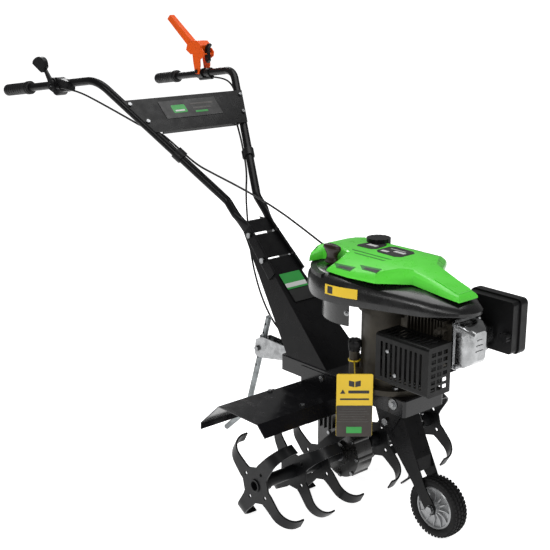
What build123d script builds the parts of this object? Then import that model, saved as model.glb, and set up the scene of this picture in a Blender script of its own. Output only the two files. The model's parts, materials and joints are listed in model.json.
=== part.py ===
"""Mini cultivator: a walk-behind garden tiller with a vertical-shaft petrol engine.

Millimetres, +X forward, +Y to the machine's left, +Z up.  The origin is on the ground, under the
middle of the whole machine.  Sketches are drawn from the tine axle: forward of it, left of it and
up from the ground, on the planes that side_plane, level_plane and cross_plane give.
"""
import os
from math import cos, degrees, hypot, pi, radians, sin, tan

from build123d import *

os.makedirs("parts", exist_ok=True)

# ---------------------------------------------------------------- driving dimensions
AXLE_X = 362.9          # the tine axle stands this far in front of the machine's middle
AXLE_Z = 106.0          # height of the tine axle
RIGHT, LEFT = -1, 1     # sides of the machine, as signs of Y

# tines
TINE_RADIUS = 122.4
TINE_PLATE = 4.0
TINE_OUTER_Y = 290.0    # outer face of the outermost tine plates
TINE_MIDDLE_Y = 175.0   # the two stars of each inner set
TINE_INNER_Y = 101.0
SHAFT_R = 15.0
SHAFT_BORE_R = 11.0
SHAFT_BORE_DEPTH = 20.0

# worm gear
MODULE = 4.0
WHEEL_TEETH = 20
WORM_PITCH_R = 14.0
PITCH = pi * MODULE
WORM_X = -(WORM_PITCH_R + MODULE * WHEEL_TEETH / 2)

# deck and frame
DECK_TOP = 320.0
DECK_BOTTOM = 281.0
DECK_T = 4.0
DECK_HALF = 64.0
DECK_REAR, DECK_FRONT = -170.0, 236.0
BASE_T = 4.0
COLUMN_T = 3.0
COLUMN_TOP = 615.0
COLUMN_TOP_HALF = 34.0
COLUMN_FOOT_HALF = 62.0

# engine
ENGINE_X = 135.0
CYLINDER_Z = 470.0
SHROUD_X = 75.0
SHROUD_R = 150.0
SHROUD_Z0, SHROUD_Z1 = 528.0, 588.0
COVER_TOP = 612.0

# belt drive, and the arm that presses its roller against the belt
PULLEY_Z = 298.0
PULLEY_HALF = 7.0
DRIVEN_R, ENGINE_R = 45.0, 30.0
GROOVE_DEPTH = 9.0
BELT_HALF = 4.0
IDLER_AXIS = (72.0, -8.0)
IDLER_AT = (34.0, 11.0)
IDLER_R = 11.0

# handlebar
TUBE_R = 10.5
TUBE_WALL = 1.8
GRIP_END = (-1109.0, 256.0, 893.0)
TUBE_KNEE = (-700.0, 222.0, 949.0)
TUBE_LOW = (-392.0, 48.0, 661.0)
TUBE_NECK = (-362.0, 48.0, 633.0)
TAB_LINE_END = (-232.0, 48.0, 512.0)
TAB_T = 6.0
TAB_W = 30.0

# transport wheel
WHEEL_X, WHEEL_R, WHEEL_W = 288.0, 70.0, 41.0
RIM_R = 49.0
LEG_HALF = 26.0
LEG_PIVOT = (152.0, 238.0)
LEG_T = 3.0
SPRING_A = (112.0, 0.0, 216.0)      # the two ends of the leg's spring
SPRING_B = (186.5, 0.0, 189.5)


# ---------------------------------------------------------------- helpers
def side_plane(y=0.0):
    """Seen from the machine's right: sketch X forward of the axle, sketch Y up from the ground."""
    return Plane(origin=(AXLE_X, y, 0), x_dir=(1, 0, 0), z_dir=(0, -1, 0))


def level_plane(z=0.0):
    """Seen from above: sketch X forward of the axle, sketch Y to the left."""
    return Plane(origin=(AXLE_X, 0, z), x_dir=(1, 0, 0), z_dir=(0, 0, 1))


def cross_plane(x=0.0):
    """Seen from the front: sketch X to the left, sketch Y up from the ground."""
    return Plane(origin=(AXLE_X + x, 0, 0), x_dir=(0, 1, 0), z_dir=(1, 0, 0))


def spot(point, side=LEFT):
    """A point given from the axle on the left side, as a vector in the part's frame."""
    return Vector(AXLE_X + point[0], side * point[1], point[2])


def between(a, b, share):
    """The point a share of the way from a to b."""
    return tuple(p + (q - p) * share for p, q in zip(a, b))


def across(point, radius, length, mode=Mode.ADD):
    """A round bar or hole along Y, centred on a point given as (forward, left, up)."""
    with BuildSketch(side_plane(point[1])) as disc:
        with Locations((point[0], point[2])):
            Circle(radius)
    extrude(disc.sketch, amount=length / 2, both=True, mode=mode)


def upright(x, y, z0, z1, radius, mode=Mode.ADD):
    """A round bar or hole along Z from height z0 to z1."""
    with BuildSketch(level_plane(z0)) as disc:
        with Locations((x, y)):
            Circle(radius)
    extrude(disc.sketch, amount=z1 - z0, mode=mode)


def block(x0, x1, y0, y1, z0, z1, mode=Mode.ADD):
    """A rectangular piece between two corners, measured from the axle."""
    with BuildSketch(level_plane(z0)) as outline:
        with Locations(((x0 + x1) / 2, (y0 + y1) / 2)):
            Rectangle(x1 - x0, y1 - y0)
    extrude(outline.sketch, amount=z1 - z0, mode=mode)


def hex_bolt(plane, head_w, head_h, shank_r, length, nut_h=0.0):
    """A hexagon bolt: head on the plane's face, shank back through it, and a nut at the far end."""
    with BuildSketch(plane) as head:
        RegularPolygon(radius=head_w / 2, side_count=6, major_radius=False)
    extrude(head.sketch, amount=head_h)
    with BuildSketch(plane) as shank:
        Circle(shank_r)
    extrude(shank.sketch, amount=-length)
    if nut_h:
        with BuildSketch(plane.offset(-length)) as nut:
            RegularPolygon(radius=head_w / 2, side_count=6, major_radius=False)
        extrude(nut.sketch, amount=nut_h)


def save(piece, name):
    """Label a finished piece and write it."""
    piece.part.label = name
    export_step(piece.part, f"parts/{name}.step")


# ---------------------------------------------------------------- deck and frame
ENGINE_BOLTS = [(ENGINE_X + 78 * cos(radians(a)), 78 * sin(radians(a))) for a in (40, 140, 220, 320)]
BASE_BOLTS = [(-21.0, 300.0), (202.0, 304.0)]
COLUMN_FEET = [(x, side * (COLUMN_FOOT_HALF - 14)) for x in (-132, -40) for side in (RIGHT, LEFT)]
GEAR_FLANGE = [(WORM_X + dx, dy) for dx in (-26, 26) for dy in (-26, 26)]
BRACKET_BOLTS = [(-24.0, 299.0), (24.0, 299.0)]

with BuildPart() as engine_deck:
    block(DECK_REAR, DECK_FRONT, -DECK_HALF, DECK_HALF, DECK_BOTTOM, DECK_TOP)
    fillet(engine_deck.edges().filter_by(Axis.Z), radius=6)
    block(DECK_REAR + DECK_T, DECK_FRONT - DECK_T, -DECK_HALF + DECK_T, DECK_HALF - DECK_T,
          DECK_BOTTOM, DECK_TOP - DECK_T, mode=Mode.SUBTRACT)
    upright(ENGINE_X, 0, DECK_BOTTOM, DECK_TOP + 1, 32, mode=Mode.SUBTRACT)
    for bolt_x, bolt_y in ENGINE_BOLTS:
        upright(bolt_x, bolt_y, DECK_TOP - 10, DECK_TOP + 1, 4.2, mode=Mode.SUBTRACT)
    for bolt_x, bolt_z in BASE_BOLTS:
        across((bolt_x, 0, bolt_z), 4.2, 3 * DECK_HALF, mode=Mode.SUBTRACT)
    for bolt_x, bolt_y in COLUMN_FEET:
        upright(bolt_x, bolt_y, DECK_TOP - 10, DECK_TOP + 1, 4.2, mode=Mode.SUBTRACT)
    for bolt_y, bolt_z in BRACKET_BOLTS:
        with BuildSketch(cross_plane(DECK_REAR - 5)):
            with Locations((bolt_y, bolt_z)):
                Circle(4.2)
        extrude(amount=12, mode=Mode.SUBTRACT)
    fillet(engine_deck.faces().sort_by(Axis.Z)[-1].outer_wire().edges(), radius=3)
save(engine_deck, "engine_deck")

# The base plate closes the deck from below, carries the gearbox and has two lugs for the wheel leg.
LUG_IN, LUG_OUT = LEG_HALF + 0.5, LEG_HALF + 4.5
with BuildPart() as base_plate:
    block(-110, DECK_FRONT - DECK_T - 1, -DECK_HALF + DECK_T + 0.3, DECK_HALF - DECK_T - 0.3,
          DECK_BOTTOM, DECK_BOTTOM + BASE_T)
    for side in (RIGHT, LEFT):
        lip = sorted((side * (DECK_HALF - DECK_T - 0.3), side * (DECK_HALF - DECK_T - 3.3)))
        block(-60, 225, lip[0], lip[1], DECK_BOTTOM, DECK_BOTTOM + 27)
        with BuildSketch(side_plane(side * (LUG_IN + LUG_OUT) / 2)):
            with BuildLine():
                Polyline((110, DECK_BOTTOM + 1), (130, 232), (140, 219), (166, 219), (176, 232),
                         (205, DECK_BOTTOM + 1), close=True)
            make_face()
        extrude(amount=(LUG_OUT - LUG_IN) / 2, both=True)
    upright(WORM_X, 0, DECK_BOTTOM - 1, DECK_BOTTOM + BASE_T + 1, 21, mode=Mode.SUBTRACT)
    for bolt_x, bolt_y in GEAR_FLANGE:
        upright(bolt_x, bolt_y, DECK_BOTTOM - 1, DECK_BOTTOM + BASE_T + 1, 3.2, mode=Mode.SUBTRACT)
    for bolt_x, bolt_z in BASE_BOLTS:
        across((bolt_x, 0, bolt_z), 4.2, 3 * DECK_HALF, mode=Mode.SUBTRACT)
    across((LEG_PIVOT[0], 0, LEG_PIVOT[1]), 5.05, 3 * DECK_HALF, mode=Mode.SUBTRACT)
    block(SPRING_A[0] - 3, SPRING_A[0] + 1, -8, 8, SPRING_A[2] - 8, DECK_BOTTOM + 1)
    upright(IDLER_AXIS[0], IDLER_AXIS[1], DECK_BOTTOM, DECK_BOTTOM + 9, 4)
    upright(IDLER_AXIS[0], IDLER_AXIS[1], DECK_BOTTOM + 9, DECK_BOTTOM + 11, 7)
save(base_plate, "base_plate")

# The column is one folded sheet: a web facing forward and up, and two cheeks that widen downwards.
SLOPE = (COLUMN_FOOT_HALF - COLUMN_TOP_HALF) / (COLUMN_TOP - DECK_TOP)


def column_half(z):
    """Half the column's width at a height."""
    return COLUMN_TOP_HALF + (COLUMN_TOP - z) * SLOPE


with BuildPart() as column:
    for inset, mode in ((0.0, Mode.ADD), (COLUMN_T, Mode.SUBTRACT)):
        with BuildSketch(level_plane(DECK_TOP)):
            with BuildLine():
                Polyline((-12 - inset * 1.4, COLUMN_FOOT_HALF - inset),
                         (-12 - inset * 1.4, -COLUMN_FOOT_HALF + inset),
                         (-150 - 9 * inset, -COLUMN_FOOT_HALF + inset),
                         (-150 - 9 * inset, COLUMN_FOOT_HALF - inset), close=True)
            make_face()
        with BuildSketch(level_plane(COLUMN_TOP)):
            with BuildLine():
                Polyline((-340 - inset * 1.4, COLUMN_TOP_HALF - inset),
                         (-340 - inset * 1.4, -COLUMN_TOP_HALF + inset),
                         (-364 - 9 * inset, -COLUMN_TOP_HALF + inset),
                         (-364 - 9 * inset, COLUMN_TOP_HALF - inset), close=True)
            make_face()
        loft(mode=mode)
    for share in (0.5, 0.85):
        bolt = between(TUBE_LOW, TAB_LINE_END, share)
        across((bolt[0], 0, bolt[2]), 4.2, 200, mode=Mode.SUBTRACT)
    for bolt_x, bolt_y in COLUMN_FEET:
        foot = sorted((bolt_y * 40 / 48, bolt_y * 60 / 48))
        block(bolt_x - 14, bolt_x + 14, foot[0], foot[1], DECK_TOP + 0.05, DECK_TOP + 4)
        upright(bolt_x, bolt_y, DECK_TOP - 1, DECK_TOP + 5, 4.2, mode=Mode.SUBTRACT)
save(column, "column")

# ---------------------------------------------------------------- handlebar
TAB_END = (-226.0, column_half(506) + TAB_T / 2 + 0.1, 506.0)
TAB_TOP = (-326.0, column_half(599) + TAB_T / 2 + 0.1, 599.0)
KNEE_R = 75.0


def tube_path(side):
    """The centre line of a handle tube, from the grip's end to the neck over the column."""
    points = [spot(p, side) for p in (GRIP_END, TUBE_KNEE, TUBE_LOW, TUBE_NECK)]
    return points


def handle_tube(side):
    """One bent handle tube with its flattened and drilled lower end."""
    points = tube_path(side)
    down = (spot(TAB_END, side) - spot(TAB_TOP, side)).normalized()
    outward = Vector(0, side, SLOPE).normalized()
    with BuildPart() as tube:
        with BuildLine() as path:
            FilletPolyline(*points[:3], points[3], radius=(KNEE_R, 30.0))
        start = Plane(origin=path.line @ 0, z_dir=path.line % 0)
        with BuildSketch(start):
            Circle(TUBE_R)
            Circle(TUBE_R - TUBE_WALL, mode=Mode.SUBTRACT)
        sweep()
        with BuildSketch(Plane(origin=path.line @ 1, x_dir=outward, z_dir=path.line % 1)):
            Circle(TUBE_R)
        with BuildSketch(Plane(origin=spot(TAB_TOP, side), x_dir=outward, z_dir=down)):
            RectangleRounded(TAB_T, TAB_W, TAB_T / 2 - 0.1)
        loft()
        with BuildSketch(Plane(origin=spot(TAB_TOP, side), x_dir=outward, z_dir=down)):
            RectangleRounded(TAB_T, TAB_W, TAB_T / 2 - 0.1)
        extrude(amount=(spot(TAB_END, side) - spot(TAB_TOP, side)).length + 8)
        for share in (0.5, 0.85):
            bolt = between(TUBE_LOW, TAB_LINE_END, share)
            across((bolt[0], 0, bolt[2]), 4.2, 200, mode=Mode.SUBTRACT)
        for share in (0.235, 0.375):
            hole = panel_hole(share, side)
            with BuildSketch(hole):
                Circle(3.2)
            extrude(amount=40, both=True, mode=Mode.SUBTRACT)
    return tube


PANEL_T = 2.0
PANEL_SHARES = (0.2, 0.46)
PANEL_RUN = Vector(TUBE_LOW[0] - TUBE_KNEE[0], 0, TUBE_LOW[2] - TUBE_KNEE[2])
PANEL_NORMAL = Vector(-PANEL_RUN.Z, 0, PANEL_RUN.X).normalized()


def panel_point(share, side):
    """The foot of the panel's inner face over a tube's centre line."""
    base = spot(between(TUBE_KNEE, TUBE_LOW, share), side)
    return base + PANEL_NORMAL * (TUBE_R + 0.05)


def panel_hole(share, side):
    """The plane of one panel bolt hole, facing forward and up."""
    inward = Vector(0, -side * 2.0, 0)
    return Plane(origin=panel_point(share, side) + inward, x_dir=(0, 1, 0), z_dir=PANEL_NORMAL)


handle_tube_right = handle_tube(RIGHT)
handle_tube_left = handle_tube(LEFT)
save(handle_tube_right, "handle_tube_right")
save(handle_tube_left, "handle_tube_left")

PANEL_PLANE = Plane(origin=panel_point(0, LEFT) - Vector(0, panel_point(0, LEFT).Y, 0),
                    x_dir=(0, 1, 0), z_dir=PANEL_NORMAL)
PANEL_LENGTH = PANEL_RUN.length


def panel_corner(share, side):
    """A panel corner on the panel's own plane: left, and along the slope downwards as negative."""
    half = between(TUBE_KNEE, TUBE_LOW, share)[1] + 7
    return (side * half, -share * PANEL_LENGTH if PANEL_PLANE.y_dir.Z > 0 else share * PANEL_LENGTH)


with BuildPart() as cross_panel:
    with BuildSketch(PANEL_PLANE):
        with BuildLine():
            Polyline(panel_corner(PANEL_SHARES[0], RIGHT), panel_corner(PANEL_SHARES[1], RIGHT),
                     panel_corner(PANEL_SHARES[1], LEFT), panel_corner(PANEL_SHARES[0], LEFT),
                     close=True)
        make_face()
    extrude(amount=PANEL_T)
    for share in PANEL_SHARES:
        far = panel_corner(share, LEFT)
        inner_half = far[0] - 26
        with BuildSketch(PANEL_PLANE):
            with Locations((0, far[1] + (2 if share == PANEL_SHARES[1] else -2))):
                Rectangle(2 * inner_half, 4)
        extrude(amount=-9)
    for share in (0.235, 0.375):
        for side in (RIGHT, LEFT):
            with BuildSketch(panel_hole(share, side)):
                Circle(3.2)
            extrude(amount=20, both=True, mode=Mode.SUBTRACT)
save(cross_panel, "cross_panel")

# grips
GRIP_LENGTH = 118.0
GRIP_R = 16.0


def grip(side):
    """A ribbed rubber grip with a collar and a closed end."""
    end = spot(GRIP_END, side)
    along = (spot(TUBE_KNEE, side) - end).normalized()
    back = end - along * 5
    with BuildPart() as piece:
        with BuildSketch(Plane(origin=back, z_dir=along)):
            Circle(GRIP_R)
        extrude(amount=GRIP_LENGTH)
        fillet(piece.edges().filter_by(GeomType.CIRCLE), radius=5)
        for station in (GRIP_LENGTH - 10, GRIP_LENGTH - 2):
            with BuildSketch(Plane(origin=back + along * (station - 4), z_dir=along)):
                Circle(GRIP_R + 2)
            extrude(amount=4)
        for rib in range(7):
            with BuildSketch(Plane(origin=back + along * (16 + rib * 11), z_dir=along)):
                Circle(GRIP_R + 1)
                Circle(GRIP_R - 1.2, mode=Mode.SUBTRACT)
            extrude(amount=3, mode=Mode.SUBTRACT)
        with BuildSketch(Plane(origin=end, z_dir=along)):
            Circle(TUBE_R + 0.05)
        extrude(amount=GRIP_LENGTH + 10, mode=Mode.SUBTRACT)
    return piece


grip_right = grip(RIGHT)
grip_left = grip(LEFT)
save(grip_right, "grip_right")
save(grip_left, "grip_left")


# ---------------------------------------------------------------- controls
def grip_line(share, side):
    """A point on the straight grip stretch of a tube and the tube's direction there."""
    end, knee = spot(GRIP_END, side), spot(TUBE_KNEE, side)
    return end + (knee - end) * share, (knee - end).normalized()


def tube_clamp(share, side, length, outer):
    """A clamp ring round the straight grip stretch of a tube."""
    centre, along = grip_line(share, side)
    with BuildSketch(Plane(origin=centre - along * length / 2, z_dir=along)) as ring:
        Circle(outer)
        Circle(TUBE_R + 0.05, mode=Mode.SUBTRACT)
    extrude(ring.sketch, amount=length)


def tube_clearance(side):
    """Cut away the room the tube takes along its straight grip stretch."""
    start, along = grip_line(0.3, side)
    with BuildSketch(Plane(origin=start, z_dir=along)) as bore:
        Circle(TUBE_R + 0.05)
    extrude(bore.sketch, amount=230, mode=Mode.SUBTRACT)


# thumb throttle on the right grip: a ring with a round housing, and a paddle lever on its stud
THROTTLE_SHARE = 0.59
THROTTLE_AXIS = (-868.0, -236.0, 926.0)
THROTTLE_FACE = -254.0
with BuildPart() as throttle_housing:
    tube_clamp(THROTTLE_SHARE, RIGHT, 34, 15.5)
    across((THROTTLE_AXIS[0], (THROTTLE_FACE - 247) / 2, THROTTLE_AXIS[2]), 19, 247 + THROTTLE_FACE + 14)
    across((THROTTLE_AXIS[0], THROTTLE_FACE - 5, THROTTLE_AXIS[2]), 3, 12)
    across((THROTTLE_AXIS[0], THROTTLE_FACE - 11, THROTTLE_AXIS[2]), 6, 2.5)
    with BuildSketch(cross_plane(-850)) as cable_boss:
        with Locations((THROTTLE_FACE + 5, 921)):
            Circle(5.5)
    extrude(cable_boss.sketch, amount=14)
    tube_clearance(RIGHT)
save(throttle_housing, "throttle_housing")

with BuildPart() as throttle_lever:
    with BuildSketch(side_plane(THROTTLE_FACE - 0.4)):
        with Locations((THROTTLE_AXIS[0], THROTTLE_AXIS[2])):
            Circle(15)
        with BuildLine():
            Polyline((-880, 930), (-902, 962), (-894, 968), (-866, 942), close=True)
        make_face()
    extrude(amount=5)
    with BuildSketch(side_plane(THROTTLE_FACE + 3)):
        with BuildLine():
            Line((-906, 956), (-950, 976))
            Line((-950, 976), (-948, 984))
            Spline((-948, 984), (-922, 996), (-900, 994), (-888, 972))
            Line((-888, 972), (-906, 956))
        make_face()
    extrude(amount=14)
    fillet(throttle_lever.faces().sort_by(Axis.Z)[-1].edges(), radius=1.5)
    across((THROTTLE_AXIS[0], THROTTLE_FACE, THROTTLE_AXIS[2]), 3.05, 40, mode=Mode.SUBTRACT)
save(throttle_lever, "throttle_lever")

# clutch lever on the left grip: a clamp with a pivot stud each side, a forked lever and its latch
CLUTCH_SHARE = 0.605
CLUTCH_AXIS = (-861.5, 235.4, 933.0)
CLUTCH_BOSS, CLUTCH_ALONG = grip_line(CLUTCH_SHARE + 0.05, LEFT)
CLUTCH_UP = CLUTCH_ALONG.cross(Vector(0, 1, 0)).normalized()
BOSS_DROP, BOSS_HALF = 14.0, 32.0
with BuildPart() as clutch_bracket:
    tube_clamp(CLUTCH_SHARE, LEFT, 30, 14.5)
    tube_clamp(CLUTCH_SHARE + 0.1, LEFT, 16, 13.5)
    across(CLUTCH_AXIS, 6, 30)
    with BuildSketch(Plane(origin=CLUTCH_BOSS - CLUTCH_UP * BOSS_DROP, z_dir=CLUTCH_ALONG)):
        Circle(6)
    extrude(amount=BOSS_HALF, both=True)
    across(CLUTCH_AXIS, 3, 46)
    for side in (RIGHT, LEFT):
        across((CLUTCH_AXIS[0], CLUTCH_AXIS[1] + side * 22, CLUTCH_AXIS[2]), 6, 2.5)
    tube_clearance(LEFT)
save(clutch_bracket, "clutch_bracket")

LEVER_TIP = (-1010.0, 1084.0)
LATCH_AXIS = (-833.0, 235.4, 984.0)
with BuildPart() as clutch_lever:
    for side in (RIGHT, LEFT):
        with BuildSketch(side_plane(CLUTCH_AXIS[1] + side * 17.5)):
            with BuildLine():
                Polyline((-870, 926), (-853, 926), (-846, 950), (-848, 1000), (-884, 1000),
                         (-878, 960), close=True)
            make_face()
        extrude(amount=1.7, both=True)
    with BuildSketch(side_plane(CLUTCH_AXIS[1])):
        with BuildLine():
            Polyline((-846, 985), (-842, 1008), (-858, 1020), (-884, 1019), (-906, 1008),
                     (-912, 992), (-890, 980), close=True)
        make_face()
    extrude(amount=19, both=True)
    with BuildSketch(side_plane(CLUTCH_AXIS[1])):
        with BuildLine():
            Polyline((-890, 1012), (-908, 996), (LEVER_TIP[0] - 7, LEVER_TIP[1] - 8),
                     (LEVER_TIP[0] + 6, LEVER_TIP[1] + 4), close=True)
        make_face()
    extrude(amount=8, both=True)
    for side in (RIGHT, LEFT):
        with BuildSketch(side_plane(CLUTCH_AXIS[1] + side * 17.5)):
            with BuildLine():
                Polyline((-850, 966), (-829, 977), (-827, 990), (-838, 1000), (-850, 1000), close=True)
            make_face()
        extrude(amount=1.5, both=True)
    across(LATCH_AXIS, 2.5, 36)
    across(CLUTCH_AXIS, 3.05, 60, mode=Mode.SUBTRACT)
save(clutch_lever, "clutch_lever")

with BuildPart() as clutch_latch:
    with BuildSketch(side_plane(CLUTCH_AXIS[1])):
        with BuildLine():
            Polyline((-841.5, 990), (-836, 1006), (-826, 1014), (-818, 1010), (-826, 1002),
                     (-828, 988), (-824, 966), (-832, 958), (-840, 966), close=True)
        make_face()
    extrude(amount=5, both=True)
    across(LATCH_AXIS, 2.55, 20, mode=Mode.SUBTRACT)
save(clutch_latch, "clutch_latch")

# ---------------------------------------------------------------- cables
CABLE_R = 2.5
CLIP_SHARES = {RIGHT: 0.63, LEFT: 0.68}
DOWN_TUBE = {side: (spot(TUBE_LOW, side) - spot(TUBE_KNEE, side)).normalized()
             for side in (RIGHT, LEFT)}


def beside_tube(share, up, inward, side):
    """A point beside the lower tube: out along its upper face and in towards the middle."""
    along = DOWN_TUBE[side]
    inner = (Vector(0, -side, 0) - along * along.dot(Vector(0, -side, 0))).normalized()
    base = spot(between(TUBE_KNEE, TUBE_LOW, share), side)
    return base + PANEL_NORMAL * up + inner * inward


CLIP_UP = {RIGHT: 9.6, LEFT: -9.6}
CLIP_IN = 9.6
with BuildPart() as cable_clips:
    for side in (RIGHT, LEFT):
        share = CLIP_SHARES[side]
        centre = spot(between(TUBE_KNEE, TUBE_LOW, share), side) - DOWN_TUBE[side] * 12
        saddle = beside_tube(share, CLIP_UP[side], CLIP_IN, side) - DOWN_TUBE[side] * 12
        with BuildSketch(Plane(origin=centre, z_dir=DOWN_TUBE[side])):
            Circle(14)
        extrude(amount=24)
        with BuildSketch(Plane(origin=saddle, z_dir=DOWN_TUBE[side])):
            Circle(5.5)
        extrude(amount=24)
        with BuildSketch(Plane(origin=centre, z_dir=DOWN_TUBE[side])):
            Circle(TUBE_R + 0.05)
        extrude(amount=24, mode=Mode.SUBTRACT)
        with BuildSketch(Plane(origin=saddle, z_dir=DOWN_TUBE[side])):
            Circle(CABLE_R + 0.05)
        extrude(amount=24, mode=Mode.SUBTRACT)
save(cable_clips, "cable_clips")

THROTTLE_ROUTE = [
    Vector(AXLE_X - 835.8, -249, 921), Vector(AXLE_X - 790, -249, 920), Vector(AXLE_X - 738, -243, 914),
    Vector(AXLE_X - 684, -226, 894),
    beside_tube(0.27, -17, -8, RIGHT), beside_tube(0.36, -17, 6, RIGHT),
    beside_tube(0.46, -2, 19, RIGHT), beside_tube(0.55, 9.6, 9.6, RIGHT),
    beside_tube(0.73, 9.6, 9.6, RIGHT),
    Vector(AXLE_X - 418, -70, 729), Vector(AXLE_X - 345, -32, 695), Vector(AXLE_X - 272, 8, 654),
    Vector(AXLE_X - 200, 36, 610), Vector(AXLE_X - 130, 52, 572), Vector(AXLE_X - 68, 55, 556)]
CLUTCH_ROUTE = [
    CLUTCH_BOSS - CLUTCH_UP * BOSS_DROP + CLUTCH_ALONG * (BOSS_HALF + 0.35),
    Vector(AXLE_X - 756, 229, 922), Vector(AXLE_X - 706, 221, 910), Vector(AXLE_X - 662, 203, 880),
    beside_tube(0.26, -13, 12, LEFT), beside_tube(0.40, -13, 13, LEFT), beside_tube(0.50, -11, 11, LEFT),
    beside_tube(0.59, -9.6, 9.6, LEFT), beside_tube(0.80, -9.6, 9.6, LEFT),
    Vector(AXLE_X - 444, 54, 655), Vector(AXLE_X - 412, 33, 590), Vector(AXLE_X - 392, 24, 527),
    Vector(AXLE_X - 374, 24, 464), Vector(AXLE_X - 350, 28, 402), Vector(AXLE_X - 317, 35, 346),
    Vector(AXLE_X - 268, 40, 312), Vector(AXLE_X - 216, 42, 301), Vector(AXLE_X - 170.3, 42, 300)]


def bend_radii(route):
    """The radius at each inner corner, as large as its two runs allow."""
    radii = []
    for before, corner, after in zip(route, route[1:], route[2:]):
        turn = (corner - before).get_angle(after - corner)
        shorter = min((corner - before).length, (after - corner).length)
        radii.append(0.45 * shorter / tan(radians(turn) / 2))
    return radii


def cable(route):
    """A cable along straight runs joined by tangent arcs."""
    with BuildPart() as piece:
        with BuildLine() as path:
            FilletPolyline(*route, radius=tuple(bend_radii(route)))
        with BuildSketch(Plane(origin=path.line @ 0, z_dir=path.line % 0)):
            Circle(CABLE_R)
        sweep()
    length = path.wire().length
    print(f"cable {length:.0f} mm long, volume over section times length "
          f"{piece.part.volume / (pi * CABLE_R ** 2 * length):.4f}, "
          f"radii {[round(r) for r in bend_radii(route)]}")
    return piece


throttle_cable = cable(THROTTLE_ROUTE)
clutch_cable = cable(CLUTCH_ROUTE)
save(throttle_cable, "throttle_cable")
save(clutch_cable, "clutch_cable")

# ---------------------------------------------------------------- fenders
FENDER_T = 2.0
FENDER_INNER_Y = (DECK_HALF + 0.2, 188.0)
FENDER_OUTER_Y = (152.0, 316.0)
FENDER_LINE = [(-161.0, 196.0), (-160.0, 211.0), (-95.0, 270.0), (38.0, 270.0), (62.0, 247.0)]
FENDER_BOLTS = [(-88.0, 170.0), (24.0, 170.0)]


def moved_out(line, distance):
    """A folded line moved outwards by the same distance everywhere."""
    normals = []
    for (x0, z0), (x1, z1) in zip(line, line[1:]):
        length = hypot(x1 - x0, z1 - z0)
        normals.append(((z0 - z1) / length, (x1 - x0) / length))
    outer = []
    for index, (x, z) in enumerate(line):
        a, b = normals[max(index - 1, 0)], normals[min(index, len(normals) - 1)]
        scale = distance / (1 + a[0] * b[0] + a[1] * b[1])
        outer.append((x + (a[0] + b[0]) * scale, z + (a[1] + b[1]) * scale))
    return outer


def fender(side, span, lift, flange):
    """A folded fender sheet over one pair of tines, between two distances from the middle."""
    inner_line, outer_line = moved_out(FENDER_LINE, lift), moved_out(FENDER_LINE, lift + FENDER_T)
    with BuildPart() as sheet:
        with BuildSketch(side_plane(side * (span[0] + span[1]) / 2)):
            with BuildLine():
                Polyline(*inner_line, *outer_line[::-1], close=True)
            make_face()
        extrude(amount=(span[1] - span[0]) / 2, both=True)
        if flange:
            low, high = sorted((side * span[0], side * (span[0] + FENDER_T)))
            block(-95, 38, low, high, 270, 312)
            across((BASE_BOLTS[0][0], side * span[0], BASE_BOLTS[0][1]), 4.2, 20, mode=Mode.SUBTRACT)
        for bolt_x, bolt_y in FENDER_BOLTS:
            upright(bolt_x, side * bolt_y, 260, 280, 3.2, mode=Mode.SUBTRACT)
    return sheet


with BuildPart() as fender_inner:
    for side in (RIGHT, LEFT):
        add(fender(side, FENDER_INNER_Y, 0.0, True).part)
save(fender_inner, "fender_inner")
for side, word in ((RIGHT, "right"), (LEFT, "left")):
    save(fender(side, FENDER_OUTER_Y, FENDER_T + 0.1, False), f"fender_outer_{word}")

# ---------------------------------------------------------------- depth stake
STAKE_R = 7.5
STAKE_TOP = (-289.0, 0.0, 373.0)
STAKE_KINK = (-378.0, 0.0, 92.0)
STAKE_END = (-468.0, 0.0, 12.0)
STAKE_AXIS = (spot(STAKE_TOP) - spot(STAKE_KINK)).normalized()
BRACKET_HALF = 14.0
STAKE_CLAMP = (-318.0, 283.0)
with BuildPart() as depth_stake:
    with BuildLine() as stake_path:
        FilletPolyline(spot(STAKE_TOP), spot(STAKE_KINK), spot(STAKE_END), radius=40)
    with BuildSketch(Plane(origin=stake_path.line @ 0, z_dir=stake_path.line % 0)):
        Circle(STAKE_R)
    sweep()
    chamfer(depth_stake.edges().filter_by(GeomType.CIRCLE).sort_by(Axis.Z)[-1], length=2)
    for step in range(6):
        hole = spot(STAKE_TOP) - STAKE_AXIS * (22 + 25 * step)
        across((hole.X - AXLE_X, 0, hole.Z), 3.5, 40, mode=Mode.SUBTRACT)
save(depth_stake, "depth_stake")

with BuildPart() as stake_bracket:
    for side in (RIGHT, LEFT):
        with BuildSketch(side_plane(side * (BRACKET_HALF - 1.5))):
            with BuildLine():
                Polyline((-170.2, 286), (-170.2, 314), (-300, 318), (-326, 306), (-330, 268),
                         (-322, 260), (-296, 262), close=True)
            make_face()
        extrude(amount=1.5, both=True)
    sleeve_low = spot(between(STAKE_TOP, STAKE_KINK, 0.38))
    with BuildSketch(Plane(origin=sleeve_low, z_dir=STAKE_AXIS)):
        Circle(BRACKET_HALF - 2)
    extrude(amount=50)
    block(-173.2, -170.2, -32, 32, 284, 314)
    with BuildSketch(Plane(origin=sleeve_low, z_dir=STAKE_AXIS)):
        Circle(STAKE_R + 0.35)
    extrude(amount=50, mode=Mode.SUBTRACT)
    for bolt_y, bolt_z in BRACKET_BOLTS:
        with BuildSketch(cross_plane(-180)):
            with Locations((bolt_y, bolt_z)):
                Circle(4.2)
        extrude(amount=20, mode=Mode.SUBTRACT)
    across((STAKE_CLAMP[0], 0, STAKE_CLAMP[1]), 4.2, 60, mode=Mode.SUBTRACT)
save(stake_bracket, "stake_bracket")

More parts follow.
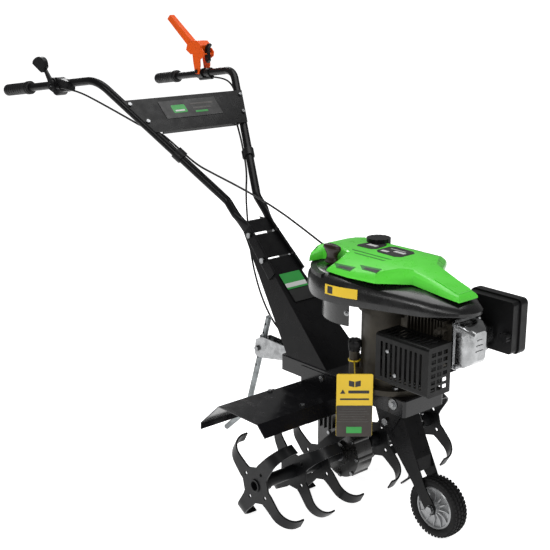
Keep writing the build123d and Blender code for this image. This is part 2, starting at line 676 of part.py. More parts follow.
# ---------------------------------------------------------------- wheel leg and transport wheel
LEG_CHEEK = [(137, 224), (139, 250), (152, 258), (197, 262), (241, 173), (268, 119), (302, 76),
             (300, 62), (288, 56), (274, 62), (232, 116), (182, 171)]
WEB_END = (248.0, 146.0)
WHEEL_AT = (WHEEL_X, 0.0, WHEEL_R)
with BuildPart() as wheel_leg:
    for side in (RIGHT, LEFT):
        with BuildSketch(side_plane(side * (LEG_HALF - LEG_T / 2))):
            with BuildLine():
                Polyline(*LEG_CHEEK, close=True)
            make_face()
        extrude(amount=LEG_T / 2, both=True)
    with BuildSketch(side_plane()):
        with BuildLine():
            Polyline((197, 262), (241, 173), WEB_END, (WEB_END[0] - 3, WEB_END[1] - 1.5),
                     (238, 171.7), (194.4, 260), close=True)
        make_face()
    extrude(amount=LEG_HALF, both=True)
    across((190, 0, 186), 3, 2 * LEG_HALF)
    across((LEG_PIVOT[0], 0, LEG_PIVOT[1]), 5.05, 80, mode=Mode.SUBTRACT)
    across(WHEEL_AT, 5.05, 80, mode=Mode.SUBTRACT)
save(wheel_leg, "wheel_leg")

with BuildPart() as wheel_bolt:
    across(WHEEL_AT, 5, 2 * LEG_HALF + 14)
    for side in (RIGHT, LEFT):
        with BuildSketch(side_plane(side * (LEG_HALF + 0.1 + 3.5))):
            with Locations((WHEEL_X, WHEEL_R)):
                RegularPolygon(radius=8, side_count=6, major_radius=False)
        extrude(amount=3.5, both=True)
        across((WHEEL_X, side * (LEG_HALF + 0.9), WHEEL_R), 10, 1.6)
save(wheel_bolt, "wheel_bolt")


def wheel_ring(y0, y1, outer, inner, mode=Mode.ADD):
    """A ring round the wheel's axle from y0 to y1."""
    with BuildSketch(side_plane((y0 + y1) / 2)) as ring:
        with Locations((WHEEL_X, WHEEL_R)):
            Circle(outer)
            if inner > 0:
                Circle(inner, mode=Mode.SUBTRACT)
    extrude(ring.sketch, amount=abs(y1 - y0) / 2, both=True, mode=mode)


with BuildPart() as wheel_rim:
    wheel_ring(-17, 17, RIM_R, RIM_R - 4, Mode.ADD)
    wheel_ring(-3, 3, RIM_R - 2, 0, Mode.ADD)
    wheel_ring(-21, 21, 11, 0, Mode.ADD)
    for index in range(6):
        angle = radians(60 * index + 30)
        with BuildSketch(side_plane(0)):
            with Locations((WHEEL_X + 28 * cos(angle), WHEEL_R + 28 * sin(angle))):
                Rectangle(34, 5, rotation=degrees(angle))
        extrude(amount=12, both=True)
    wheel_ring(-30, 30, 5.05, 0, Mode.SUBTRACT)
save(wheel_rim, "wheel_rim")

with BuildPart() as tyre:
    wheel_ring(-WHEEL_W / 2, WHEEL_W / 2, WHEEL_R, RIM_R + 0.02)
    fillet(tyre.edges().filter_by(GeomType.CIRCLE).group_by(SortBy.RADIUS)[-1], radius=7)
    for groove_y in (-9.5, 0, 9.5):
        wheel_ring(groove_y - 1, groove_y + 1, WHEEL_R + 1, WHEEL_R - 2.2, Mode.SUBTRACT)
save(tyre, "tyre")

with BuildPart() as leg_spring:
    with BuildSketch(Plane(origin=spot(between(SPRING_A, SPRING_B, 0.05)),
                           z_dir=spot(SPRING_B) - spot(SPRING_A))):
        Circle(7)
        Circle(4, mode=Mode.SUBTRACT)
    extrude(amount=(spot(SPRING_B) - spot(SPRING_A)).length * 0.9)
save(leg_spring, "leg_spring")

# ---------------------------------------------------------------- gearbox
CASE_HALF = 24.0
CASE_R = 60.0
CASE_BOLTS = [(56 * cos(radians(a)), AXLE_Z + 56 * sin(radians(a))) for a in (0, 45, 90, 135, 225, 270, 315)]


def gearbox_case(side):
    """One half of the cast worm gear case, with its tower up to the base plate."""
    y0, y1 = (0.05, CASE_HALF) if side == LEFT else (-CASE_HALF, -0.05)
    middle, half = (y0 + y1) / 2, (y1 - y0) / 2
    with BuildPart() as case:
        with BuildSketch(side_plane(middle)):
            with Locations((0, AXLE_Z)):
                Circle(CASE_R)
            with BuildLine():
                Polyline((WORM_X - 25, 70), (WORM_X - 25, 250), (WORM_X + 25, 250), (WORM_X + 25, 70),
                         close=True)
            make_face()
        extrude(amount=half, both=True)
        across((0, side * (CASE_HALF + 4), AXLE_Z), 30, 8)
        block(WORM_X - 36, WORM_X + 36, min(y0, side * 36), max(y1, side * 36), 272, DECK_BOTTOM - 0.05)
        block(WORM_X - 20, WORM_X + 20, y0, y1, 240, 275)
        for rib_x in (WORM_X - 15, WORM_X, WORM_X + 15):
            low, high = sorted((side * CASE_HALF, side * (CASE_HALF + 5)))
            block(rib_x - 2, rib_x + 2, low, high, 153, 275)
        with BuildSketch(side_plane(middle)):
            with Locations(*CASE_BOLTS):
                Circle(7)
        extrude(amount=half, both=True)
        across((0, 0, AXLE_Z), 47, 34, mode=Mode.SUBTRACT)
        upright(WORM_X, 0, 76, 138, 19.5, mode=Mode.SUBTRACT)
        upright(WORM_X, 0, 64, 290, 8.04, mode=Mode.SUBTRACT)
        across((0, 0, AXLE_Z), 24.03, 52, mode=Mode.SUBTRACT)
        across((0, 0, AXLE_Z), 19, 80, mode=Mode.SUBTRACT)
        for bolt_x, bolt_z in CASE_BOLTS:
            across((bolt_x, 0, bolt_z), 2.6, 80, mode=Mode.SUBTRACT)
        for bolt_x, bolt_y in GEAR_FLANGE:
            upright(bolt_x, bolt_y, 268, 290, 3.2, mode=Mode.SUBTRACT)
    return case


save(gearbox_case(RIGHT), "gearbox_case_right")
save(gearbox_case(LEFT), "gearbox_case_left")


def axle_ring(y0, y1, outer, inner):
    """A ring round the tine axle."""
    with BuildSketch(side_plane((y0 + y1) / 2)) as ring:
        with Locations((0, AXLE_Z)):
            Circle(outer)
            Circle(inner, mode=Mode.SUBTRACT)
    extrude(ring.sketch, amount=abs(y1 - y0) / 2, both=True)


with BuildPart() as shaft_bearings:
    for side in (RIGHT, LEFT):
        axle_ring(side * 18, side * 25.9, 24, SHAFT_R + 0.04)
        axle_ring(side * 26.1, side * 31, 18.97, SHAFT_R + 0.04)
save(shaft_bearings, "shaft_bearings")

with BuildPart() as worm_wheel:
    pitch_r = MODULE * WHEEL_TEETH / 2
    with BuildSketch(side_plane(0)):
        with Locations((0, AXLE_Z)):
            Circle(pitch_r - 5.4)
        for tooth in range(WHEEL_TEETH):
            angle = 360 * (tooth + 0.5) / WHEEL_TEETH
            with Locations(Location((0, AXLE_Z, 0), (0, 0, angle))):
                with Locations((pitch_r - 1.5, 0)):
                    Trapezoid(6.4, 9, 76, rotation=-90)
    extrude(amount=6, both=True)
    axle_ring(-13, 13, 22, SHAFT_R + 0.02)
    across((0, 0, AXLE_Z), SHAFT_R + 0.02, 60, mode=Mode.SUBTRACT)
save(worm_wheel, "worm_wheel")

WORM_TURNS = 4
with BuildPart() as worm_shaft:
    upright(WORM_X, 0, 66, 314, 8)
    upright(WORM_X, 0, 78, 134, 10)
    with BuildLine(Plane(origin=(AXLE_X + WORM_X, 0, AXLE_Z - PITCH * WORM_TURNS / 2))) as worm_helix:
        Helix(pitch=PITCH, height=PITCH * WORM_TURNS, radius=WORM_PITCH_R)
    with BuildSketch(Plane(origin=(AXLE_X + WORM_X + WORM_PITCH_R, 0, AXLE_Z - PITCH * WORM_TURNS / 2),
                           x_dir=(1, 0, 0), z_dir=(0, 1, 0))):
        with BuildLine():
            Polyline((3.4, 1.4), (3.4, -1.4), (-4.6, -3.1), (-4.6, 3.1), close=True)
        make_face()
    sweep(path=worm_helix.line, is_frenet=True)
save(worm_shaft, "worm_shaft")

# ---------------------------------------------------------------- tines
STAR_POINTS = 4
BEND_R = 44.0
BLADE_REACH = 54.0
BLADE_ROOT = 30.0
COLLAR_LENGTH = 34.0
COLLAR_R = 18.5
HUB_SIDE = 84.0
HUB_HOLE_AT = 38.0
HUB_HOLE_R = 4.5
PIN_INSET = 24.0        # the pin goes through the collar this far in from the set's outer plate
PIN_R = 4.0


def blade_strip(plane):
    """A blade seen edge-on: straight out from the hub, then bent through a quarter turn."""
    bend_x = TINE_RADIUS - BEND_R
    with BuildSketch(plane) as strip:
        with BuildLine():
            Polyline((TINE_RADIUS, BLADE_REACH), (TINE_RADIUS, BEND_R))
            CenterArc((bend_x, BEND_R), BEND_R, 0, -90)
            Polyline((bend_x, 0), (BLADE_ROOT, 0), (BLADE_ROOT, TINE_PLATE), (bend_x, TINE_PLATE))
            CenterArc((bend_x, BEND_R), BEND_R - TINE_PLATE, -90, 90)
            Polyline((TINE_RADIUS - TINE_PLATE, BEND_R), (TINE_RADIUS - TINE_PLATE, BLADE_REACH),
                     (TINE_RADIUS, BLADE_REACH))
        make_face()
    return strip


def star_face(plane, first_angle):
    """The star's outline seen along the axle: a square hub plate and four swept arms."""
    with BuildSketch(plane) as arm:
        with BuildLine():
            Line((20, -22), (50, -19))
            Spline((50, -19), (88, -21), (TINE_RADIUS + 2, -25))
            Line((TINE_RADIUS + 2, -25), (TINE_RADIUS + 2, 0))
            Spline((TINE_RADIUS + 2, 0), (88, 9), (50, 19))
            Polyline((50, 19), (20, 22), (20, -22))
        make_face()
    with BuildSketch(plane) as star:
        Rectangle(HUB_SIDE, HUB_SIDE, rotation=first_angle + 45)
        for index in range(STAR_POINTS):
            add(arm.sketch_local, rotation=first_angle + 90 * index)
    return star


def tine_star(plate_y, inward, first_angle):
    """A square hub plate with a hole at each corner, and four arms whose blades bend inwards."""
    with BuildPart() as star:
        for index in range(STAR_POINTS):
            angle = radians(first_angle + 90 * index)
            radial = Vector(cos(angle), 0, sin(angle))
            axial = Vector(0, inward, 0)
            origin = Vector(AXLE_X, plate_y, AXLE_Z)
            strip = blade_strip(Plane(origin=origin, x_dir=radial, z_dir=radial.cross(axial)))
            extrude(strip.sketch, amount=30, both=True)
        middle = Plane(origin=(AXLE_X, plate_y + inward * 30, AXLE_Z), x_dir=(1, 0, 0), z_dir=(0, -1, 0))
        extrude(star_face(middle, first_angle).sketch, amount=32, both=True, mode=Mode.INTERSECT)
        hub = Plane(origin=(AXLE_X, plate_y + inward * TINE_PLATE / 2, AXLE_Z), x_dir=(1, 0, 0),
                    z_dir=(0, -1, 0))
        with BuildSketch(hub):
            Rectangle(HUB_SIDE, HUB_SIDE, rotation=first_angle + 45)
        extrude(amount=TINE_PLATE / 2, both=True)
        for index in range(STAR_POINTS):
            angle = radians(first_angle + 90 * index)
            across((HUB_HOLE_AT * cos(angle), plate_y, AXLE_Z + HUB_HOLE_AT * sin(angle)), HUB_HOLE_R, 20,
                   mode=Mode.SUBTRACT)
    return star


def tine_set(side, plates):
    """Stars welded to one collar, which slides on the shaft and is cross-drilled for its pin."""
    inward = -side
    outer_y = side * plates[0][0]
    inner_y = side * plates[-1][0] + inward * COLLAR_LENGTH
    stars = [tine_star(side * distance, inward, first_angle) for distance, first_angle in plates]
    with BuildPart() as joined:
        axle_ring(outer_y, inner_y, COLLAR_R, SHAFT_R + 0.03)
        for star in stars:
            add(star.part)
        across((0, (outer_y + inner_y) / 2, AXLE_Z), SHAFT_R + 0.03, abs(outer_y - inner_y) + 20,
               mode=Mode.SUBTRACT)
        upright(0, outer_y + inward * PIN_INSET, AXLE_Z - 30, AXLE_Z + 30, PIN_R + 0.03, mode=Mode.SUBTRACT)
    return joined


# Each set is listed from its outer star inwards, as (distance from the middle, angle of the first arm).
INNER_SET = [(TINE_MIDDLE_Y, -136), (TINE_INNER_Y, -120.5)]
TINE_SETS = [("tines_outer_right", RIGHT, [(TINE_OUTER_Y, -120.5)]), ("tines_inner_right", RIGHT, INNER_SET),
             ("tines_inner_left", LEFT, INNER_SET), ("tines_outer_left", LEFT, [(TINE_OUTER_Y, -120.5)])]
for name, side, plates in TINE_SETS:
    save(tine_set(side, plates), name)

with BuildPart() as tine_shaft:
    across((0, 0, AXLE_Z), SHAFT_R, 2 * (TINE_OUTER_Y + 3))
    for side in (RIGHT, LEFT):
        bore_y = side * (TINE_OUTER_Y + 3 - SHAFT_BORE_DEPTH / 2)
        across((0, bore_y, AXLE_Z), SHAFT_BORE_R, SHAFT_BORE_DEPTH, mode=Mode.SUBTRACT)
    for name, side, plates in TINE_SETS:
        upright(0, side * (plates[0][0] - PIN_INSET), AXLE_Z - 30, AXLE_Z + 30, PIN_R + 0.03,
                mode=Mode.SUBTRACT)
save(tine_shaft, "tine_shaft")

with BuildPart() as tine_pins:
    for name, side, plates in TINE_SETS:
        pin_y = side * (plates[0][0] - PIN_INSET)
        upright(0, pin_y, AXLE_Z - 22, AXLE_Z + 22, PIN_R)
        upright(0, pin_y, AXLE_Z + 19, AXLE_Z + 22, 6.5)
save(tine_pins, "tine_pins")

# ---------------------------------------------------------------- belt drive under the deck
def pulley(x, outer, bore):
    """A grooved pulley on an upright shaft."""
    low, high = PULLEY_Z - PULLEY_HALF, PULLEY_Z + PULLEY_HALF
    with BuildPart() as wheel:
        with BuildSketch(Plane(origin=(AXLE_X + x, 0, 0), x_dir=(1, 0, 0), z_dir=(0, -1, 0))):
            with BuildLine():
                floor = outer - GROOVE_DEPTH
                Polyline((bore, low), (outer, low), (outer, PULLEY_Z - 5.3), (floor, PULLEY_Z - 4.4),
                         (floor, PULLEY_Z + 4.4), (outer, PULLEY_Z + 5.3), (outer, high), (bore, high),
                         close=True)
            make_face()
        revolve(axis=Axis((AXLE_X + x, 0, 0), (0, 0, 1)))
    return wheel


driven_pulley = pulley(WORM_X, DRIVEN_R, 8.02)
engine_pulley = pulley(ENGINE_X, ENGINE_R, 12.52)
save(driven_pulley, "driven_pulley")
save(engine_pulley, "engine_pulley")

with BuildPart() as drive_belt:
    for inset, mode in ((1.0, Mode.ADD), (GROOVE_DEPTH - 0.4, Mode.SUBTRACT)):
        with BuildSketch(level_plane(PULLEY_Z - BELT_HALF)):
            with Locations((WORM_X, 0)):
                Circle(DRIVEN_R - inset)
            with Locations((ENGINE_X, 0)):
                Circle(ENGINE_R - inset)
            make_hull()
        extrude(amount=2 * BELT_HALF, mode=mode)
save(drive_belt, "drive_belt")

with BuildPart() as belt_idler:
    with BuildSketch(level_plane(286.6)):
        with Locations(IDLER_AXIS):
            Circle(9)
        with Locations(IDLER_AT):
            Circle(8)
        make_hull()
        with Locations(IDLER_AXIS):
            Circle(4.05, mode=Mode.SUBTRACT)
    extrude(amount=3)
    upright(IDLER_AT[0], IDLER_AT[1], 291, 304, IDLER_R)
    upright(IDLER_AT[0], IDLER_AT[1], 290, 306, 3.05, mode=Mode.SUBTRACT)
    upright(IDLER_AT[0], IDLER_AT[1], 289, 305, 3)
save(belt_idler, "belt_idler")

# ---------------------------------------------------------------- engine
BLOCK_R = 70.0
CYL_REAR, CYL_FRONT = 180.0, 300.0
HEAD_FRONT = 338.0
COVER_FRONT = 386.0
with BuildPart() as engine_block:
    upright(ENGINE_X, 0, DECK_TOP + 0.05, DECK_TOP + 12, 90)
    upright(ENGINE_X, 0, DECK_TOP + 0.05, 500, BLOCK_R)
    upright(ENGINE_X, 0, 498, 514, BLOCK_R + 8)
    block(ENGINE_X, CYL_FRONT, -38, 38, 432, 508)
    for fin in range(9):
        fin_x = 222 + 9.2 * fin
        block(fin_x, fin_x + 2.8, -50, 50, 420, 520)
    with BuildSketch(level_plane(DECK_TOP + 12)):
        with Locations((86, -60)):
            Circle(16)
        with Locations((104, -40)):
            Circle(16)
        make_hull()
    extrude(amount=30)
    upright(82, -66, DECK_TOP + 2, 398, 12)
    upright(ENGINE_X, 0, DECK_TOP + 14, 500, 58, mode=Mode.SUBTRACT)
    with BuildSketch(cross_plane(ENGINE_X)):
        with Locations((0, CYLINDER_Z)):
            Circle(32.5)
    extrude(amount=CYL_FRONT - ENGINE_X + 1, mode=Mode.SUBTRACT)
    upright(ENGINE_X, 0, DECK_TOP - 1, 520, 12.53, mode=Mode.SUBTRACT)
    upright(82, -66, DECK_TOP + 20, 400, 8.5, mode=Mode.SUBTRACT)
    for bolt_x, bolt_y in ENGINE_BOLTS:
        upright(bolt_x, bolt_y, DECK_TOP - 1, DECK_TOP + 13, 4.2, mode=Mode.SUBTRACT)
        upright(bolt_x, bolt_y, DECK_TOP + 12, DECK_TOP + 40, 10, mode=Mode.SUBTRACT)
save(engine_block, "engine_block")

with BuildPart() as crankshaft:
    upright(ENGINE_X, 0, 286, 345, 12.5)
    for web_z in (440, 488):
        upright(ENGINE_X, 0, web_z, web_z + 10, 40)
    upright(ENGINE_X, 0, 340, 440, 12.5)
    upright(ENGINE_X + 25, 0, 440, 498, 11)
    upright(ENGINE_X, 0, 498, 572, 12.5)

# the flywheel and its fan are keyed to the crankshaft and are kept with it
with BuildPart() as flywheel:
    upright(ENGINE_X, 0, 520, 534, 78)
    for fin in range(14):
        angle = 2 * pi * fin / 14
        with BuildSketch(level_plane(534)):
            with Locations((ENGINE_X + 60 * cos(angle), 60 * sin(angle))):
                Rectangle(30, 3, rotation=degrees(angle) + 20)
        extrude(amount=16)
    upright(ENGINE_X, 0, 534, 560, 22)
    upright(ENGINE_X, 0, 515, 575, 12.52, mode=Mode.SUBTRACT)
with BuildPart() as crank_set:
    add(crankshaft.part)
    add(flywheel.part)
save(crank_set, "crankshaft")

with BuildPart() as cylinder_head:
    block(CYL_FRONT + 0.05, HEAD_FRONT, -40, 40, 426, 514)
    for fin in range(3):
        fin_x = CYL_FRONT + 3 + 8 * fin
        block(fin_x, fin_x + 2.8, -50, 50, 420, 520)
    with BuildSketch(cross_plane(CYL_FRONT)):
        with Locations((0, CYLINDER_Z)):
            Circle(30)
    extrude(amount=6, mode=Mode.SUBTRACT)
    across((322, -45, 502), 5, 30)
    across((322, -66, 502), 6.5, 14)
    across((322, -60.5, 502), 9, 5)
save(cylinder_head, "cylinder_head")

with BuildPart() as rocker_cover:
    with BuildSketch(cross_plane(HEAD_FRONT + 0.05)):
        with Locations((0, CYLINDER_Z)):
            RectangleRounded(82, 108, 14)
    extrude(amount=8)
    with BuildSketch(cross_plane(HEAD_FRONT + 8)):
        with Locations((0, CYLINDER_Z)):
            RectangleRounded(74, 94, 14)
    extrude(amount=COVER_FRONT - HEAD_FRONT - 8, taper=7)
    fillet(rocker_cover.faces().sort_by(Axis.X)[-1].edges(), radius=6)
    with BuildSketch(cross_plane(HEAD_FRONT)):
        with Locations((0, CYLINDER_Z)):
            RectangleRounded(62, 82, 10)
    extrude(amount=38, taper=7, mode=Mode.SUBTRACT)
save(rocker_cover, "rocker_cover")

with BuildPart() as muffler:
    block(220, 336, -114, -68, 390, 472)
    fillet(muffler.edges().filter_by(Axis.X), radius=12)
    block(318, 332, -69, -50.2, 436, 462)
save(muffler, "muffler")

GUARD = (205.0, 352.0, -127.0, -57.0, 378.0, 486.0)
with BuildPart() as muffler_guard:
    x0, x1, y0, y1, z0, z1 = GUARD
    block(*GUARD)
    fillet(muffler_guard.edges().filter_by(Axis.X).group_by(Axis.Y)[0], radius=7)
    block(x0 + 2, x1 - 2, y0 + 2, y1 + 1, z0 + 2, z1 - 2, mode=Mode.SUBTRACT)
    for slot in range(9):
        slot_x = x0 + 14 + 13.6 * slot
        block(slot_x, slot_x + 6.5, y0 - 1, y0 + 4, z0 + 14, z1 - 16, mode=Mode.SUBTRACT)
        block(slot_x, slot_x + 6.5, y0 + 12, y1 - 12, z1 - 4, z1 + 1, mode=Mode.SUBTRACT)
        block(slot_x, slot_x + 6.5, y0 + 12, y1 - 12, z0 - 1, z0 + 4, mode=Mode.SUBTRACT)
    for row in range(6):
        for column_index in range(3):
            grid_y, grid_z = y0 + 10 + 18 * column_index, z0 + 12 + 15 * row
            block(x1 - 4, x1 + 1, grid_y, grid_y + 13, grid_z, grid_z + 9, mode=Mode.SUBTRACT)
save(muffler_guard, "muffler_guard")

with BuildPart() as carburettor:
    block(CYL_FRONT + 4, HEAD_FRONT - 2, 50.1, 62, 450, 484)
    across((321, 80, 468), 14, 37.9)
    block(300, 342, 66, 92, 452, 484)
    upright(321, 80, 432, 454, 15)
save(carburettor, "carburettor")

AIR_BOX = (253.0, 390.0, 425.0, 549.0)
AIR_KNOB_X = 373.0
with BuildPart() as air_filter_base:
    block(AIR_BOX[0] + 4, AIR_BOX[1] - 4, 99, 121, AIR_BOX[2] + 4, AIR_BOX[3] - 4)
    fillet(air_filter_base.edges().filter_by(Axis.Y), radius=8)
    block(AIR_BOX[0] + 8, AIR_BOX[1] - 8, 103, 122, AIR_BOX[2] + 8, AIR_BOX[3] - 8, mode=Mode.SUBTRACT)
    across((321, 101, 468), 12, 10, mode=Mode.SUBTRACT)
    across((AIR_KNOB_X, 100, 468), 3.05, 20, mode=Mode.SUBTRACT)
save(air_filter_base, "air_filter_base")

with BuildPart() as air_filter_cover:
    block(AIR_BOX[0], AIR_BOX[1], 121.1, 148, AIR_BOX[2], AIR_BOX[3])
    fillet(air_filter_cover.edges().filter_by(Axis.Y), radius=12)
    fillet(air_filter_cover.faces().sort_by(Axis.Y)[-1].edges(), radius=7)
    block(AIR_BOX[0] + 4, AIR_BOX[1] - 4, 121, 142, AIR_BOX[2] + 4, AIR_BOX[3] - 4, mode=Mode.SUBTRACT)
save(air_filter_cover, "air_filter_cover")

with BuildPart() as air_filter_knob:
    across((AIR_KNOB_X, 91, 468), 12, 15)
    for index in range(6):
        angle = radians(60 * index)
        across((AIR_KNOB_X + 13 * cos(angle), 91, 468 + 13 * sin(angle)), 3.2, 17, mode=Mode.SUBTRACT)
    across((AIR_KNOB_X, 101, 468), 3, 12)
save(air_filter_knob, "air_filter_knob")

# ---------------------------------------------------------------- shroud, tank and top cover
SKIRT_R = 117.0
SHROUD_CIRCLES = [(SHROUD_X, SHROUD_R), (262.0, 88.0), (334.0, 46.0)]
with BuildPart() as blower_shroud:
    for inset, height, mode in ((0.0, SHROUD_Z1, Mode.ADD), (3.0, SHROUD_Z1 - 3, Mode.SUBTRACT)):
        with BuildSketch(level_plane(SHROUD_Z0)):
            for circle_x, circle_r in SHROUD_CIRCLES:
                with Locations((circle_x, 0)):
                    Circle(circle_r - inset)
            make_hull()
        extrude(amount=height - SHROUD_Z0, mode=mode)
        if mode == Mode.ADD:
            fillet(blower_shroud.faces().sort_by(Axis.Z)[-1].edges(), radius=10)
    with BuildSketch(level_plane(470)):
        with Locations((SHROUD_X, 0)):
            Circle(SKIRT_R)
            Circle(SKIRT_R - 3, mode=Mode.SUBTRACT)
        with Locations((SHROUD_X + 132, 0)):
            Rectangle(200, 300, mode=Mode.SUBTRACT)
    extrude(amount=SHROUD_Z0 - 470)
    with BuildSketch(level_plane(SHROUD_Z0)):
        with Locations((SHROUD_X, 0)):
            Circle(SHROUD_R - 0.5)
            Circle(SKIRT_R - 3, mode=Mode.SUBTRACT)
        with Locations((SHROUD_X + 132, 0)):
            Rectangle(200, 320, mode=Mode.SUBTRACT)
    extrude(amount=3)
    upright(28, 60, 580, 590, 23, mode=Mode.SUBTRACT)
    upright(20, -80, 580, 590, 3, mode=Mode.SUBTRACT)
save(blower_shroud, "blower_shroud")

with BuildPart() as fuel_tank:
    with BuildSketch(level_plane(534)):
        with Locations((SHROUD_X, 0)):
            Circle(SHROUD_R - 6)
        with Locations((ENGINE_X, 0)):
            Circle(88, mode=Mode.SUBTRACT)
        with Locations((SHROUD_X + 75, 0)):
            Rectangle(200, 320, mode=Mode.SUBTRACT)
        with Locations((20, -80)):
            Circle(14, mode=Mode.SUBTRACT)
    extrude(amount=48)
    upright(28, 60, 580, 616, 20)
    upright(28, 60, 540, 620, 16, mode=Mode.SUBTRACT)
save(fuel_tank, "fuel_tank")

COVER_HALF = [(-70, 40), (-46, 84), (-10, 108), (40, 116), (96, 113), (168, 106), (232, 56), (300, 46),
              (362, 40), (368, 26)]
with BuildPart() as top_cover:
    full = [(x, -y) for x, y in COVER_HALF]
    with BuildSketch(level_plane(SHROUD_Z1 + 0.05)):
        with BuildLine():
            Polyline(*full, *COVER_HALF[::-1], close=True)
        make_face()
    extrude(amount=COVER_TOP - SHROUD_Z1)
    chamfer(top_cover.faces().sort_by(Axis.Z)[-1].edges(), length=8)
    with BuildSketch(level_plane(SHROUD_Z1)):
        with BuildLine():
            Polyline(*full, *COVER_HALF[::-1], close=True)
        make_face()
        offset(amount=-11, mode=Mode.REPLACE)
    extrude(amount=COVER_TOP - SHROUD_Z1 - 3, mode=Mode.SUBTRACT)
    block(-12, 58, -130, -52, SHROUD_Z1 - 1, COVER_TOP + 1, mode=Mode.SUBTRACT)
    upright(28, 60, SHROUD_Z1 - 1, COVER_TOP + 2, 21, mode=Mode.SUBTRACT)
save(top_cover, "top_cover")

with BuildPart() as fuel_cap:
    upright(28, 60, COVER_TOP + 0.4, 628, 28)
    for index in range(16):
        angle = radians(22.5 * index)
        upright(28 + 29 * cos(angle), 60 + 29 * sin(angle), COVER_TOP, 629, 2.5, mode=Mode.SUBTRACT)
    upright(28, 60, COVER_TOP, 618, 20.4, mode=Mode.SUBTRACT)
save(fuel_cap, "fuel_cap")

with BuildPart() as recoil_handle:
    with BuildSketch(level_plane(596)):
        with Locations((20, -80)):
            SlotOverall(40, 18, rotation=-45)
    extrude(amount=36)
    fillet(recoil_handle.edges(), radius=5)
save(recoil_handle, "recoil_handle")

with BuildPart() as starter_rope:
    upright(20, -80, 576, 596, 2)
save(starter_rope, "starter_rope")

with BuildPart() as dipstick:
    upright(82, -66, 398.3, 424, 14)
    for index in range(8):
        angle = radians(45 * index)
        upright(82 + 16 * cos(angle), -66 + 16 * sin(angle), 398, 425, 4, mode=Mode.SUBTRACT)
    upright(82, -66, 350, 400, 2.5)
save(dipstick, "dipstick")

TAG_AT = Vector(AXLE_X + 139, -120.5, 297)
TAG_NORMAL = Vector(0.755, -0.655, 0).normalized()
TAG_W, TAG_H = 80.0, 148.0
NECK = (82.0, -66.0)
with BuildPart() as hang_tag:
    with BuildSketch(Plane(origin=TAG_AT, x_dir=(0.655, 0.755, 0), z_dir=TAG_NORMAL)):
        RectangleRounded(TAG_W, TAG_H, 4)
    extrude(amount=0.8, both=True)
    tie_start = TAG_AT + Vector(0, 0, TAG_H / 2 - 6)
    tie_end = Vector(AXLE_X + NECK[0] + 9, NECK[1] - 9, 376)
    with BuildSketch(Plane(origin=tie_start, z_dir=tie_end - tie_start)):
        Circle(1.2)
    extrude(amount=(tie_end - tie_start).length)
    upright(NECK[0], NECK[1], 374, 377, 14)
    upright(NECK[0], NECK[1], 370, 380, 12.1, mode=Mode.SUBTRACT)
save(hang_tag, "hang_tag")

# ---------------------------------------------------------------- fasteners
with BuildPart() as fasteners:
    for side in (RIGHT, LEFT):
        out = (0, side, 0)
        for share in (0.5, 0.85):
            bolt = between(TUBE_LOW, TAB_LINE_END, share)
            face = column_half(bolt[2]) + TAB_T + 1.1
            hex_bolt(Plane(origin=(AXLE_X + bolt[0], side * face, bolt[2]), z_dir=out), 13, 5, 4,
                     TAB_T + COLUMN_T + 1)
        for (bolt_x, bolt_z), face in zip(BASE_BOLTS, (DECK_HALF + 2.4, DECK_HALF + 2.2)):
            plane = Plane(origin=(AXLE_X + bolt_x, side * face, bolt_z), z_dir=out)
            hex_bolt(plane, 13, 5, 4, face - 51.5, 5)
        across((BASE_BOLTS[1][0], side * (DECK_HALF + 1.15), BASE_BOLTS[1][1]), 12, 2.1)
        for bolt_x, bolt_y in FENDER_BOLTS:
            plane = Plane(origin=(AXLE_X + bolt_x, side * bolt_y, 274.2), z_dir=(0, 0, 1))
            hex_bolt(plane, 10, 4, 3, 8.2, 3.9)
        for share in (0.235, 0.375):
            hole = panel_hole(share, side)
            hex_bolt(hole.offset(PANEL_T + 0.1), 10, 4, 3, PANEL_T + TUBE_R)
        clamp = Plane(origin=(AXLE_X + STAKE_CLAMP[0], side * (BRACKET_HALF + 0.1), STAKE_CLAMP[1]), z_dir=out)
        hex_bolt(clamp, 13, 6, 4, BRACKET_HALF - STAKE_R - 0.4)
        pivot = Plane(origin=(AXLE_X + LEG_PIVOT[0], side * (LUG_OUT + 0.1), LEG_PIVOT[1]), z_dir=out)
        hex_bolt(pivot, 16, 6, 5, LUG_OUT + 0.1)
    for bolt_x, bolt_y in COLUMN_FEET:
        hex_bolt(Plane(origin=(AXLE_X + bolt_x, bolt_y, DECK_TOP + 4.1)), 12, 5, 4, 15, 6.8)
    for bolt_x, bolt_y in ENGINE_BOLTS:
        hex_bolt(Plane(origin=(AXLE_X + bolt_x, bolt_y, DECK_TOP + 12.1)), 12, 6, 4, 22, 5.8)
    for bolt_x, bolt_y in GEAR_FLANGE:
        hex_bolt(Plane(origin=(AXLE_X + bolt_x, bolt_y, DECK_BOTTOM + BASE_T + 0.1)), 9, 4, 3, 13)
    for bolt_y, bolt_z in BRACKET_BOLTS:
        hex_bolt(Plane(origin=(AXLE_X - 173.4, bolt_y, bolt_z), z_dir=(-1, 0, 0)), 12, 5, 4, 13, 5.4)
    for bolt_x, bolt_z in CASE_BOLTS:
        for side in (RIGHT, LEFT):
            hex_bolt(Plane(origin=(AXLE_X + bolt_x, side * (CASE_HALF + 0.1), bolt_z), z_dir=(0, side, 0)),
                     8, 3.5, 2.4, CASE_HALF + 0.1)
save(fasteners, "fasteners")
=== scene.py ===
"""Looks for the mini cultivator: camera, light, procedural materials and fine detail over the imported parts.

Metres, +X forward, +Y to the machine's left, +Z up.  at(x, y, z) takes millimetres from the tine axle.
"""
import json
from math import cos, pi, radians, sin

